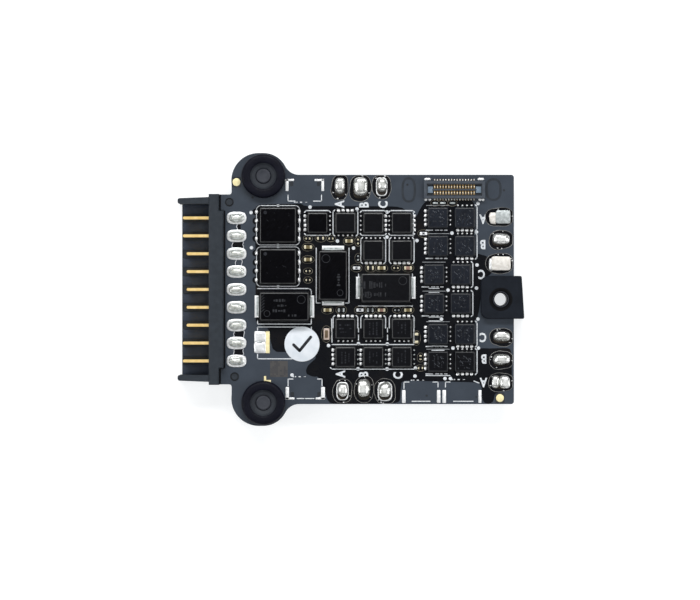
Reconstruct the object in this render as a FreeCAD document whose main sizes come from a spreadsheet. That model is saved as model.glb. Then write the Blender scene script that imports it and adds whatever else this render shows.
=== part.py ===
import FreeCAD, Part
import os
import re
import Sketcher
from FreeCAD import Placement, Rotation, Vector

# Four-motor electronic speed controller: one circuit board with a blade connector, rubber mounts and chips.
#
# Millimetres. +X runs from the battery connector towards the free edge, +Y across the board, and +Z up, out
# of the component side. The origin is the middle of the footprint, on the plane that the assembly rests on.

X_AXIS = Vector(1, 0, 0)
Z_AXIS = Vector(0, 0, 1)

# Every cell: alias, value in millimetres (or a plain count), what it is.
DIMENSIONS = [
    # circuit board
    ("board_bottom", 2.4, "height of the board's underside above the rest plane"),
    ("board_thickness", 1.6, "laminate thickness"),
    ("board_half_width", 16.3, "half of the board's width"),
    ("board_right_x", 23.2, "free edge of the board"),
    ("board_left_x", -16.93, "edge of the board beside the lugs"),
    ("board_corner_radius", 0.4, "rounding of the free corners"),
    ("ear_left_x", -18.57, "edge of the ears beside the connector"),
    ("ear_half_width", 13.5, "half width over the ears"),
    ("notch_x", -18.0, "bottom of the notch that takes the connector ledge"),
    ("notch_half_width", 11.3, "half width of the notch"),
    ("lug_x", -12.4, "grommet axis, along the board"),
    ("lug_y", 16.1, "grommet axis, from the centre line"),
    ("lug_inner_radius", 3.5, "lug outline on the free side of the grommet"),
    ("lug_inner_y", 15.9, "centre of that arc, from the centre line"),
    ("lug_outer_radius", 3.9, "lug outline on the connector side"),
    ("lug_outer_x", -13.07, "centre of the larger lug arc"),
    ("lug_blend_radius", 2.2, "hollow corner between lug and long edge"),
    ("ear_blend_radius", 0.35, "hollow corner between lug and ear"),
    # rubber grommets in the two lugs
    ("grommet_groove_radius", 2.1, "hole in the lug, and the groove that sits in it"),
    ("grommet_radius", 3.12, "flange radius"),
    ("grommet_height", 5.3, "overall height"),
    ("grommet_dish_radius", 1.88, "round recess in the top"),
    ("grommet_dish_depth", 0.55, "depth of that recess"),
    ("grommet_nub_radius", 1.04, "round plug in the recess"),
    ("grommet_nub_height", 0.2, "height of the plug above the recess floor"),
    ("grommet_top_rounding", 0.75, "rounding of the top flange"),
    ("peg_socket_radius", 1.1, "blind socket for the frame's peg"),
    ("peg_socket_depth", 3.4, "depth of the socket from the rest plane"),
    # damper clipped over the free edge, and its sleeve
    ("damper_left_x", 18.45, "inner end of the edge damper"),
    ("damper_right_x", 24.64, "outer end at its far corner"),
    ("damper_lean", 0.37, "how far the outer face leans over its width"),
    ("damper_low_y", -4.18, "one side of the damper"),
    ("damper_high_y", 1.92, "other side of the damper"),
    ("damper_height", 5.15, "overall height"),
    ("damper_slot_end_x", 23.2, "bottom of the slot that takes the board edge"),
    ("damper_rounding", 0.25, "rounding of the damper's two outer corners"),
    ("damper_inner_rounding", 1.1, "rounding of its two corners over the board"),
    ("sleeve_x", 21.3, "screw axis, along the board"),
    ("sleeve_y", -1.4, "screw axis, from the centre line"),
    ("sleeve_outer_radius", 1.65, "sleeve outside"),
    ("sleeve_bore_radius", 0.9, "clearance bore for an M1.6 screw"),
    ("sleeve_mouth_radius", 1.3, "mouth of the countersink"),
    ("sleeve_mouth_depth", 0.4, "depth of the countersink"),
    # battery connector housing
    ("wing_front_x", -24.57, "front of the guide wings"),
    ("tray_front_x", -24.08, "front of the tray floor"),
    ("wall_front_x", -20.15, "front of the back wall"),
    ("wall_back_x", -18.7, "back of the wall beside the ears"),
    ("ledge_back_x", -18.05, "back of the wall within the notch"),
    ("foot_back_x", -14.3, "back of the foot under the board"),
    ("wall_half_width", 13.55, "half width of the back wall"),
    ("wing_outer_y", 13.12, "outside of a guide wing at its root"),
    ("wing_tip_y", 12.95, "outside of a guide wing at its front"),
    ("wing_inner_y", 12.15, "inside of a guide wing"),
    ("ledge_half_width", 11.2, "half width of the ledge in the notch"),
    ("foot_half_width", 13.2, "half width of the foot"),
    ("tray_floor", 0.9, "thickness of the tray floor"),
    ("wall_height", 5.2, "height of the back wall"),
    ("wing_height", 5.0, "height of the guide wings"),
    ("wing_rounding", 0.3, "rounding of the wings' front edges"),
    ("wall_bevel", 0.15, "bevel on top of the back wall"),
    ("rib_width", 1.1, "width of the rib under each blade"),
    ("rib_height", 0.25, "height of the rib over the tray floor"),
    ("stake_radius", 0.42, "locating stakes"),
    ("stake_hole_radius", 0.62, "their holes in the board"),
    ("stake_proud", 0.12, "how far the stakes stand out of the board"),
    ("upper_stake_x", -17.25, "stake on the +Y side"),
    ("lower_stake_x", -16.5, "stake on the -Y side"),
    ("stake_y", 12.4, "stakes, from the centre line"),
    # contact blades
    ("blade_pitch", 2.54, "spacing of the nine blades"),
    ("blade_thickness", 0.4, "sheet thickness"),
    ("blade_top", 4.3, "top edge of the blade"),
    ("blade_root_x", -19.85, "how far the blade reaches into the wall"),
    ("blade_arm_top", 2.0, "top of the arm that runs under the board"),
    ("long_tip_x", -23.85, "tip of the four outer power blades"),
    ("short_tip_x", -23.3, "tip of the five inner signal blades"),
    ("tip_bevel", 0.12, "bevel at the blade tip"),
    ("tail_x", -16.23, "middle of the soldered tail"),
    ("tail_width", 1.2, "width of the tail"),
    ("tail_proud", 0.5, "tail above the board"),
    ("tail_slot_length", 1.7, "plated slot in the board"),
    ("tail_slot_width", 0.9, "plated slot in the board"),
    ("joint_length", 2.9, "solder joint along X"),
    ("joint_width", 1.75, "solder joint along Y"),
    ("joint_height", 0.42, "solder joint above the board"),
    # motor wire pads
    ("mound_length", 3.0, "solder mound along its wire"),
    ("mound_width", 2.15, "solder mound across its wire"),
    ("mound_height", 0.8, "solder mound above the board"),
    ("mound_rounding", 0.55, "rounding of its top"),
    ("mound_pitch", 3.07, "mound spacing along the long edges"),
    ("free_edge_mound_pitch", 3.27, "mound spacing along the free edge"),
    ("long_edge_mound_y", 14.45, "mounds beside the long edges"),
    ("upper_mound_x", 1.5, "middle mound of motor 1"),
    ("lower_mound_x", 1.85, "middle mound of motor 2"),
    ("free_edge_mound_x", 21.28, "mounds beside the free edge"),
    ("free_edge_upper_y", 6.98, "middle mound of motor 3"),
    ("free_edge_lower_y", -10.03, "middle mound of motor 4"),
    # small power transistors
    ("fet_size", 3.1, "moulded body, square"),
    ("fet_height", 0.8, "moulded body height"),
    ("fet_bevel", 0.22, "bevel round its top"),
    ("fet_lead_pitch", 0.65, "lead spacing"),
    ("fet_lead_width", 0.34, "lead width"),
    ("fet_lead_reach", 1.75, "lead ends, from the body's middle"),
    ("fet_lead_height", 0.2, "lead thickness"),
    ("middle_column_1", 7.25, "columns of the two middle blocks, from the right"),
    ("middle_column_2", 3.2, "second column"),
    ("middle_column_3", -0.75, "third column"),
    ("middle_column_4", -4.72, "fourth column"),
    ("upper_row_1", 9.45, "outer row of motor 1"),
    ("upper_row_2", 5.53, "inner row of motor 1"),
    ("lower_row_1", -5.56, "inner row of motor 2"),
    ("lower_row_2", -9.6, "outer row of motor 2"),
    ("side_column_1", 12.4, "left column of the side blocks"),
    ("side_column_2", 16.2, "right column of the side blocks"),
    ("step_column_1", 11.84, "left column beside the edge damper"),
    ("step_column_2", 15.6, "right column beside the edge damper"),
    ("side_row_1", 10.18, "rows of the side blocks, motor 3 first"),
    ("side_row_2", 6.17, "second row"),
    ("side_row_3", 2.12, "third row"),
    ("side_row_4", -2.0, "fourth row"),
    ("side_row_5", -6.34, "fifth row"),
    ("side_row_6", -10.25, "sixth row"),
    # battery-side power switches
    ("switch_length", 5.5, "body along X"),
    ("switch_width", 5.1, "body along Y"),
    ("switch_height", 1.0, "body height"),
    ("switch_bevel", 0.28, "bevel round its top"),
    ("switch_lead_pitch", 1.27, "lead spacing"),
    ("switch_lead_width", 0.45, "lead width"),
    ("switch_lead_reach", 3.27, "lead ends, from the body's middle"),
    ("switch_lead_height", 0.25, "lead thickness"),
    ("switch_x", -10.33, "both switches"),
    ("upper_switch_y", 9.12, "first switch"),
    ("switch_spacing", 5.87, "from the first switch to the second"),
    # bulk capacitors
    ("bulk_length", 7.3, "moulded body length"),
    ("bulk_width", 4.3, "moulded body width"),
    ("bulk_height", 2.0, "moulded body height"),
    ("bulk_bevel", 0.28, "bevel round its top"),
    ("bulk_tab_width", 2.4, "terminal width"),
    ("bulk_tab_thickness", 0.12, "terminal thickness"),
    ("bulk_tab_height", 1.1, "terminal height up the end face"),
    ("left_bulk_x", -9.41, "capacitor beside the switches"),
    ("left_bulk_y", -2.43, "capacitor beside the switches"),
    ("tall_bulk_x", -2.51, "capacitor that lies along Y"),
    ("tall_bulk_y", 1.97, "capacitor that lies along Y"),
    ("middle_bulk_x", 4.98, "capacitor in the middle"),
    ("middle_bulk_y", 0.23, "capacitor in the middle"),
    ("spare_bulk_y", -7.5, "place for a fourth capacitor"),
    ("spare_pad_length", 1.6, "tinned pad of that place, along X"),
    ("spare_pad_width", 3.1, "tinned pad of that place, along Y"),
    ("spare_pad_height", 0.25, "solder left on that pad"),
    ("spare_pad_offset", 3.44, "from the middle of that place to its pad"),
    # board-to-board connector
    ("socket_x", 14.73, "middle of the connector"),
    ("socket_y", 14.17, "middle of the connector"),
    ("socket_length", 8.7, "housing length"),
    ("socket_width", 2.5, "housing width"),
    ("socket_height", 0.95, "housing height"),
    ("socket_floor", 0.3, "floor under the cavity"),
    ("socket_cavity_length", 7.6, "cavity length"),
    ("socket_cavity_width", 1.45, "cavity width"),
    ("socket_tongue_length", 6.3, "tongue in the cavity"),
    ("socket_tongue_width", 0.2, "tongue in the cavity"),
    ("socket_tongue_height", 0.45, "tongue over the cavity floor"),
    ("pin_pitch", 0.4, "contact spacing"),
    ("pin_width", 0.2, "contact width"),
    ("pin_count", 15, "contacts in a row"),
    ("pin_thickness", 0.12, "contact strip thickness"),
    ("pin_reach", 1.5, "contact tail, from the connector's middle"),
    ("pin_spring_height", 0.62, "top of the contact in the cavity"),
    ("pin_spring_width", 0.56, "contact post in the cavity, along Y"),
    ("clip_length", 0.75, "solder clip along X"),
    ("clip_height", 0.6, "solder clip, inside the cavity ends"),
    ("clip_width", 0.9, "solder clip along Y"),
    # chip capacitors and resistors
    ("chip_length", 1.0, "small chip part"),
    ("chip_width", 0.5, "small chip part"),
    ("capacitor_height", 0.5, "small ceramic capacitor"),
    ("resistor_height", 0.35, "small resistor"),
    ("large_chip_length", 1.6, "larger ceramic capacitor"),
    ("large_chip_width", 0.8, "larger ceramic capacitor"),
    ("large_chip_height", 0.7, "larger ceramic capacitor"),
    # inspection label
    ("label_x", -6.92, "middle of the label"),
    ("label_y", -7.76, "middle of the label"),
    ("label_radius", 2.5, "label radius"),
    ("label_thickness", 0.12, "label thickness"),
    # chips on the underside
    ("controller_size", 5.0, "motor controller, square"),
    ("controller_height", 0.85, "motor controller"),
    ("controller_x", -4.2, "left pair of controllers"),
    ("controller_y", 8.6, "all controllers, from the centre line"),
    ("controller_spacing", 13.4, "to the controllers of motors 3 and 4"),
    ("driver_size", 4.0, "gate driver, square"),
    ("driver_height", 0.75, "gate driver"),
    ("driver_gap", 5.6, "from a controller to its gate driver"),
    ("shunt_length", 3.2, "current shunt"),
    ("shunt_width", 1.6, "current shunt"),
    ("shunt_height", 0.6, "current shunt"),
    ("shunt_x", -9.3, "first pair of shunts"),
    ("shunt_spacing", 4.6, "between the pairs of shunts"),
    ("shunt_y", 1.7, "shunts, from the centre line"),
    ("regulator_size", 3.0, "regulator chip and its inductor"),
    ("regulator_height", 1.2, "regulator inductor"),
    ("regulator_x", 2.6, "regulator chip"),
    ("regulator_chip_height", 0.8, "regulator chip"),
    ("inductor_x", 7.4, "regulator inductor"),
]
CELLS = {alias for alias, _, _ in DIMENSIONS}

# Transistors of each motor: column, row, and where the four wide leads face in quarter turns from -X.
TRANSISTORS = {
    1: [
        ("middle_column_1", "upper_row_1", 2), ("middle_column_2", "upper_row_1", 2),
        ("middle_column_3", "upper_row_1", 3), ("middle_column_4", "upper_row_1", 0),
        ("middle_column_1", "upper_row_2", 1), ("middle_column_2", "upper_row_2", 1),
    ],
    2: [
        ("middle_column_1", "lower_row_1", 3), ("middle_column_2", "lower_row_1", 3),
        ("middle_column_3", "lower_row_1", 3), ("middle_column_1", "lower_row_2", 0),
        ("middle_column_2", "lower_row_2", 0), ("middle_column_3", "lower_row_2", 0),
    ],
    3: [
        ("side_column_1", "side_row_1", 0), ("side_column_2", "side_row_1", 1),
        ("side_column_1", "side_row_2", 0), ("side_column_2", "side_row_2", 1),
        ("step_column_1", "side_row_3", 0), ("step_column_2", "side_row_3", 1),
    ],
    4: [
        ("step_column_1", "side_row_4", 0), ("step_column_2", "side_row_4", 1),
        ("side_column_1", "side_row_5", 0), ("side_column_2", "side_row_5", 1),
        ("side_column_1", "side_row_6", 0), ("side_column_2", "side_row_6", 1),
    ],
}
# Chip parts on the component side: x, y, quarter turns.
SMALL_CAPACITORS = [
    (-6.07, 6.02, 0), (-6.07, 4.25, 0), (-0.24, 6.88, 0), (4.38, 3.04, 0), (8.14, 3.04, 0),
    (-3.3, -2.93, 0), (4.38, -2.93, 0), (8.14, -2.93, 0),
]
LARGE_CAPACITORS = [(-3.44, -6.34, 1), (9.35, -6.91, 1)]
RESISTORS = [
    (-6.07, 7.23, 0), (-4.29, 7.26, 0), (-2.8, 7.23, 0), (-6.07, 2.61, 0), (-6.07, 1.34, 0),
    (1.04, 6.81, 1), (1.04, 4.46, 1), (0.82, 3.04, 0), (2.8, 3.04, 0), (6.44, 3.04, 0),
    (-1.34, -2.93, 0), (1.32, -2.93, 0), (2.78, -2.93, 0), (6.58, -2.93, 0), (9.92, -9.68, 0),
    (9.92, -11.17, 0), (10.34, 7.94, 0), (11.9, 12.28, 0), (13.12, 12.28, 0), (14.54, 12.28, 0),
]
# Underside chip capacitors round each controller: offsets from its middle, quarter turns.
UNDERSIDE_CHIPS = [
    (-3.4, -1.5, 1), (-3.4, 0.6, 1), (-1.6, 3.2, 0), (0.2, 3.2, 0), (-1.6, -3.2, 0), (0.2, -3.2, 0),
]
BOARD_TOP = "board_bottom + board_thickness"

doc = FreeCAD.newDocument("SpeedController")
sheet = doc.addObject("Spreadsheet::Sheet", "Dimensions")
nodes = []


def fill_sheet():
    for row, (alias, value, note) in enumerate(DIMENSIONS, 1):
        sheet.set(f"A{row}", note)
        sheet.set(f"B{row}", str(value))
        sheet.setAlias(f"B{row}", alias)
    doc.recompute()


def cells(expression):
    """The expression with each alias pointing at the sheet."""
    def point(word):
        return f"Dimensions.{word[0]}" if word[0] in CELLS else word[0]

    return re.sub(r"[a-z][a-z0-9_]*", point, str(expression))


def value(alias):
    return float(sheet.get(alias))


def bind(item, **sizes):
    """Binds properties to expressions; a double underscore stands for the dot of a nested one."""
    for name, expression in sizes.items():
        item.setExpression(name.replace("__", "."), cells(expression))


def keep(item, label):
    """Marks an object as a finished sub-part."""
    item.Label = label
    nodes.append(item)
    return item


# ---------------------------------------------------------------- sketches and features


def new_body(name, x=0, y=0, z=0, turns=0):
    body = doc.addObject("PartDesign::Body", name)
    body.Placement = Placement(Vector(), Rotation(Z_AXIS, 90 * turns))
    bind(body, Placement__Base__x=x, Placement__Base__y=y, Placement__Base__z=z)
    return body


def origin_part(body, role):
    return next(item for item in body.Origin.OriginFeatures if item.Role == role)


def new_sketch(body, height=0, plane="XY_Plane"):
    """A sketch on one of the body's own origin planes, moved along the plane's normal by height."""
    sketch = body.newObject("Sketcher::SketchObject", f"{body.Name}_sketch")
    sketch.AttachmentSupport = [(origin_part(body, plane), "")]
    sketch.MapMode = "FlatFace"
    bind(sketch, AttachmentOffset__Base__z=height)
    return sketch


def fix(sketch, kind, places, expression):
    """Adds one dimension to a sketch, bound to an expression."""
    index = sketch.addConstraint(Sketcher.Constraint(kind, *places, 1.0))
    name = f"{kind.lower()}_{index}"
    sketch.renameConstraint(index, name)
    sketch.setExpression(f".Constraints.{name}", cells(expression))


def polygon(sketch, corners):
    """A closed outline of straight lines through corners, each an (x, y) pair of expressions."""
    first, count = sketch.GeometryCount, len(corners)
    start = [Rotation(Z_AXIS, 360 * i / count).multVec(X_AXIS) for i in range(count)]
    for i in range(count):
        sketch.addGeometry(Part.LineSegment(start[i], start[(i + 1) % count]), False)
    for i, (x, y) in enumerate(corners):
        sketch.addConstraint(Sketcher.Constraint("Coincident", first + i, 2, first + (i + 1) % count, 1))
        fix(sketch, "DistanceX", (-1, 1, first + i, 1), x)
        fix(sketch, "DistanceY", (-1, 1, first + i, 1), y)
    return sketch


def rectangle(sketch, low_x, high_x, low_y, high_y):
    return polygon(sketch, [(low_x, low_y), (high_x, low_y), (high_x, high_y), (low_x, high_y)])


def centred(sketch, length, width):
    return rectangle(sketch, f"-({length}) / 2", f"({length}) / 2", f"-({width}) / 2", f"({width}) / 2")


def circle(sketch, x, y, radius):
    index = sketch.addGeometry(Part.Circle(Vector(), Z_AXIS, 1), False)
    fix(sketch, "DistanceX", (-1, 1, index, 3), x)
    fix(sketch, "DistanceY", (-1, 1, index, 3), y)
    fix(sketch, "Radius", (index,), radius)
    return sketch


def pad(body, profile, length, symmetric=False):
    item = body.newObject("PartDesign::Pad", f"{body.Name}_pad")
    item.Profile = profile
    item.SideType = "Symmetric" if symmetric else "One side"
    item.Refine = True
    bind(item, Length=length)
    return item


def pocket(body, profile, depth):
    """Cuts upwards from the sketch's plane and checks that it did cut."""
    doc.recompute()
    before = body.Tip.Shape.Volume
    item = body.newObject("PartDesign::Pocket", f"{body.Name}_pocket")
    item.Profile = profile
    item.Reversed = True
    item.Refine = True
    bind(item, Length=depth)
    doc.recompute()
    if item.Shape.Volume > before - 1e-6:
        raise RuntimeError(f"{item.Name} cuts nothing")
    return item


def revolve(body, profile):
    """Turns a profile once round its sketch's vertical axis."""
    item = body.newObject("PartDesign::Revolution", f"{body.Name}_revolution")
    item.Profile = profile
    item.ReferenceAxis = (profile, ["V_Axis"])
    item.Angle = 360
    return item


def mirror(body, originals):
    """Repeats features on the other side of the centre line."""
    item = body.newObject("PartDesign::Mirrored", f"{body.Name}_mirror")
    item.Originals = originals
    item.MirrorPlane = (origin_part(body, "XZ_Plane"), [""])
    item.Refine = True
    body.Tip = item
    return item


def row(body, axis, count, spacing, original=None):
    """A line of copies along X or Y: of one feature, or of the whole body."""
    doc.recompute()
    item = body.newObject("PartDesign::LinearPattern", f"{body.Name}_row")
    if original:
        item.Originals = [original]
    else:
        item.TransformMode = "Whole shape"
    item.Direction = (origin_part(body, axis), [""])
    item.Mode = "Spacing"
    bind(item, Occurrences=count, Offset=spacing)
    body.Tip = item
    return item


def upright_edges(body, places, reach=0.02):
    """Names of the vertical edges that stand at any of the (x, y) places."""
    doc.recompute()
    found = []
    for index, edge in enumerate(body.Tip.Shape.Edges, 1):
        ends = [vertex.Point for vertex in edge.Vertexes]
        if len(ends) == 2 and (ends[1] - ends[0]).cross(Z_AXIS).Length < 1e-6:
            if any(abs(ends[0].x - x) < reach and abs(ends[0].y - y) < reach for x, y in places):
                found.append(f"Edge{index}")
    return found


def level_edges(body, height, narrowest=0.0):
    """Names of the edges that lie at one height and span at least the narrowest width."""
    doc.recompute()
    found = []
    for index, edge in enumerate(body.Tip.Shape.Edges, 1):
        box = edge.BoundBox
        flat = abs(box.ZMin - height) < 1e-4 and abs(box.ZMax - height) < 1e-4
        if flat and max(box.XLength, box.YLength) > narrowest:
            found.append(f"Edge{index}")
    return found


def dress(body, kind, edges, size):
    """A fillet or chamfer on named edges of the body's tip."""
    if not edges:
        raise RuntimeError(f"{body.Name} has no edge for its {kind.lower()}")
    base = body.Tip
    item = body.newObject(f"PartDesign::{kind}", f"{body.Name}_{kind.lower()}")
    item.Base = (base, edges)
    if kind == "Fillet":
        bind(item, Radius=size)
    else:
        bind(item, Size=size)
    return item


def corners(half_length, half_width, x=0.0, y=0.0):
    return [(x + s * half_length, y + t * half_width) for s in (1, -1) for t in (1, -1)]


def moulded_round(name, moulding, inserts):
    """The moulding with exact pockets for the metal parts that are moulded into it."""
    tool = doc.addObject("Part::Compound", f"{name}_inserts")
    tool.Links = inserts
    item = doc.addObject("Part::Cut", name)
    item.Base = moulding
    item.Tool = tool
    item.Refine = True
    return keep(item, name)


def blocks(name, places, length, width, height, bottom):
    """Separate blocks centred on places (x, y, quarter turns), with their lower faces at bottom."""
    parts = []
    for index, (x, y, turns) in enumerate(places, 1):
        block = doc.addObject("Part::Box", f"{name}_{index}")
        along, across = (width, length) if turns % 2 else (length, width)
        bind(block, Length=along, Width=across, Height=height, Placement__Base__z=bottom)
        bind(block, Placement__Base__x=f"{x} - ({along}) / 2", Placement__Base__y=f"{y} - ({across}) / 2")
        parts.append(block)
    return parts


def group(name, parts):
    item = doc.addObject("Part::Compound", name)
    item.Links = parts
    return keep(item, name)


# ---------------------------------------------------------------- circuit board


def circuit_board():
    body = new_body("circuit_board")
    bulge_y = "lug_inner_y + lug_inner_radius - lug_outer_radius"
    for low_x, high_x, half in [
        ("lug_outer_x", "board_right_x", "board_half_width"),
        ("board_left_x", "lug_outer_x", bulge_y),
        ("ear_left_x", "board_left_x", "ear_half_width"),
    ]:
        pad(body, rectangle(new_sketch(body, "board_bottom"), low_x, high_x, f"-({half})", half),
            "board_thickness")
    lug = pad(body, circle(new_sketch(body, "board_bottom"), "lug_x", "lug_inner_y", "lug_inner_radius"),
              "board_thickness")
    bulge = pad(body, circle(new_sketch(body, "board_bottom"), "lug_outer_x", bulge_y, "lug_outer_radius"),
                "board_thickness")
    crown = pad(body, rectangle(new_sketch(body, "board_bottom"), "lug_outer_x", "lug_x", bulge_y,
                                "lug_inner_y + lug_inner_radius"), "board_thickness")
    mirror(body, [lug, bulge, crown])
    pocket(body, rectangle(new_sketch(body, "board_bottom"), "ear_left_x - 1", "notch_x",
                           "-notch_half_width", "notch_half_width"), "board_thickness")
    round_board_corners(body)
    drill_board(body)
    return keep(body, "circuit_board")


def round_board_corners(body):
    """Hollow corners where the lugs and ears leave the outline, and the two free corners."""
    half, right = value("board_half_width"), value("board_right_x")
    rise = half - value("lug_inner_y")
    lug_end = value("lug_x") + (value("lug_inner_radius") ** 2 - rise**2) ** 0.5
    for x, y, radius in [
        (lug_end, half, "lug_blend_radius"),
        (right, half, "board_corner_radius"),
        (value("board_left_x"), value("ear_half_width"), "ear_blend_radius"),
    ]:
        dress(body, "Fillet", upright_edges(body, [(x, y), (x, -y)]), radius)


def drill_board(body):
    holes = new_sketch(body, "board_bottom")
    circle(holes, "lug_x", "lug_y", "grommet_groove_radius")
    circle(holes, "lug_x", "-lug_y", "grommet_groove_radius")
    circle(holes, "upper_stake_x", "stake_y", "stake_hole_radius")
    circle(holes, "lower_stake_x", "-stake_y", "stake_hole_radius")
    circle(holes, "sleeve_x", "sleeve_y", "sleeve_outer_radius")
    pocket(body, holes, "board_thickness")
    slot = new_sketch(body, "board_bottom")
    rectangle(slot, "tail_x - tail_slot_length / 2", "tail_x + tail_slot_length / 2",
              "-4 * blade_pitch - tail_slot_width / 2", "-4 * blade_pitch + tail_slot_width / 2")
    cut = pocket(body, slot, "board_thickness")
    row(body, "Y_Axis", 9, "blade_pitch", cut)


# ---------------------------------------------------------------- battery connector


def battery_blade(index):
    """One stamped blade: upright in the tray, an arm under the board, and a tail up through it."""
    tip = "long_tip_x" if index in (1, 2, 8, 9) else "short_tip_x"
    low = "tray_floor + rib_height / 2"
    tail_front, tail_back = "tail_x - tail_width / 2", "tail_x + tail_width / 2"
    tail_top = f"{BOARD_TOP} + tail_proud"
    body = new_body(f"battery_blade_{index}", y=f"{5 - index} * blade_pitch")
    profile = polygon(new_sketch(body, 0, "XZ_Plane"), [
        (tip, low), (tail_back, low), (tail_back, tail_top), (tail_front, tail_top),
        (tail_front, "blade_arm_top"), ("blade_root_x", "blade_arm_top"),
        ("blade_root_x", "blade_top"), (tip, "blade_top"),
    ])
    pad(body, profile, "blade_thickness", symmetric=True)
    half = value("blade_thickness") / 2
    dress(body, "Chamfer", upright_edges(body, [(value(tip), half), (value(tip), -half)]), "tip_bevel")
    return keep(body, f"battery_blade_{index}")


def connector_housing(blades):
    """Tray with two guide wings, a back wall, and a foot that reaches under the board."""
    body = new_body("connector_moulding")
    for low_x, high_x, half, height in [
        ("tray_front_x", "wall_front_x", "wing_inner_y", "tray_floor"),
        ("wall_front_x", "wall_back_x", "wall_half_width", "wall_height"),
        ("wall_back_x", "ledge_back_x", "ledge_half_width", "wall_height"),
        ("wall_back_x", "foot_back_x", "foot_half_width", "board_bottom"),
    ]:
        pad(body, rectangle(new_sketch(body), low_x, high_x, f"-{half}", half), height)
    wing = pad(body, polygon(new_sketch(body), [
        ("wing_front_x", "wing_inner_y"), ("wall_front_x", "wing_inner_y"),
        ("wall_front_x", "wing_outer_y"), ("wing_front_x", "wing_tip_y"),
    ]), "wing_height")
    mirror(body, [wing])
    rib = pad(body, rectangle(new_sketch(body, "tray_floor"), "tray_front_x + rib_width / 4", "wall_front_x",
                              "-4 * blade_pitch - rib_width / 2", "-4 * blade_pitch + rib_width / 2"),
              "rib_height")
    row(body, "Y_Axis", 9, "blade_pitch", rib)
    front = value("wing_front_x")
    tips = [(front, s * value(y)) for s in (1, -1) for y in ("wing_inner_y", "wing_tip_y")]
    dress(body, "Fillet", upright_edges(body, tips), "wing_rounding")
    dress(body, "Chamfer", level_edges(body, value("wall_height")), "wall_bevel")
    stakes = new_sketch(body, "board_bottom")
    circle(stakes, "upper_stake_x", "stake_y", "stake_radius")
    circle(stakes, "lower_stake_x", "-stake_y", "stake_radius")
    pad(body, stakes, "board_thickness + stake_proud")
    return moulded_round("battery_connector_housing", body, blades)


def blade_solder_joints(blades):
    """Nine low solder domes round the blade tails."""
    body = new_body("solder_domes", y="-4 * blade_pitch", z=BOARD_TOP)
    pad(body, rectangle(new_sketch(body), "tail_x - joint_length / 2", "tail_x + joint_length / 2",
                        "-joint_width / 2", "joint_width / 2"), "joint_height")
    ends = corners(value("joint_length") / 2, value("joint_width") / 2, value("tail_x"))
    dress(body, "Fillet", upright_edges(body, ends), "joint_width * 0.48")
    dress(body, "Fillet", level_edges(body, value("joint_height")), "joint_height * 0.8")
    row(body, "Y_Axis", 9, "blade_pitch")
    return moulded_round("blade_solder_joints", body, blades)


# ---------------------------------------------------------------- rubber mounts


def grommet(name, side):
    """Rubber grommet: two flanges, a groove for the lug, a dished top and a blind socket below."""
    body = new_body(name, x="lug_x", y=f"{side}lug_y")
    top, dish = "grommet_height", "grommet_height - grommet_dish_depth"
    revolve(body, polygon(new_sketch(body, 0, "XZ_Plane"), [
        ("peg_socket_radius", 0), ("grommet_radius", 0), ("grommet_radius", "board_bottom"),
        ("grommet_groove_radius", "board_bottom"), ("grommet_groove_radius", BOARD_TOP),
        ("grommet_radius", BOARD_TOP), ("grommet_radius", top), ("grommet_dish_radius", top),
        ("grommet_dish_radius", dish), ("grommet_nub_radius", dish),
        ("grommet_nub_radius", f"{dish} + grommet_nub_height"), (0, f"{dish} + grommet_nub_height"),
        (0, "peg_socket_depth"), ("peg_socket_radius", "peg_socket_depth"),
    ]))
    width = 2 * value("grommet_radius") - 0.1
    dress(body, "Fillet", level_edges(body, value("grommet_height"), width), "grommet_top_rounding")
    dress(body, "Chamfer", level_edges(body, 0.0, width), "grommet_top_rounding / 2")
    return keep(body, name)


def edge_damper():
    """Rubber block that clips over the free edge of the board and holds the screw sleeve."""
    body = new_body("edge_damper")
    pad(body, polygon(new_sketch(body), [
        ("damper_left_x", "damper_low_y"), ("damper_right_x", "damper_low_y"),
        ("damper_right_x - damper_lean", "damper_high_y"), ("damper_left_x", "damper_high_y"),
    ]), "damper_height")
    right = value("damper_right_x")
    outer = [(right, value("damper_low_y")), (right - value("damper_lean"), value("damper_high_y"))]
    inner = [(value("damper_left_x"), value(side)) for side in ("damper_low_y", "damper_high_y")]
    dress(body, "Fillet", upright_edges(body, outer), "damper_rounding")
    dress(body, "Fillet", upright_edges(body, inner), "damper_inner_rounding")
    dress(body, "Chamfer", level_edges(body, value("damper_height")), "damper_rounding / 2")
    pocket(body, rectangle(new_sketch(body, "board_bottom"), "damper_left_x - 1", "damper_slot_end_x",
                           "damper_low_y - 1", "damper_high_y + 1"), "board_thickness")
    pocket(body, circle(new_sketch(body), "sleeve_x", "sleeve_y", "sleeve_outer_radius"), "damper_height")
    return keep(body, "edge_damper")


def damper_sleeve():
    """Hard sleeve through the damper, countersunk at its upper end."""
    body = new_body("edge_damper_sleeve", x="sleeve_x", y="sleeve_y")
    revolve(body, polygon(new_sketch(body, 0, "XZ_Plane"), [
        ("sleeve_bore_radius", 0), ("sleeve_outer_radius", 0), ("sleeve_outer_radius", "damper_height"),
        ("sleeve_mouth_radius", "damper_height"),
        ("sleeve_bore_radius", "damper_height - sleeve_mouth_depth"),
    ]))
    return keep(body, "edge_damper_sleeve")


# ---------------------------------------------------------------- parts on the component side


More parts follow.
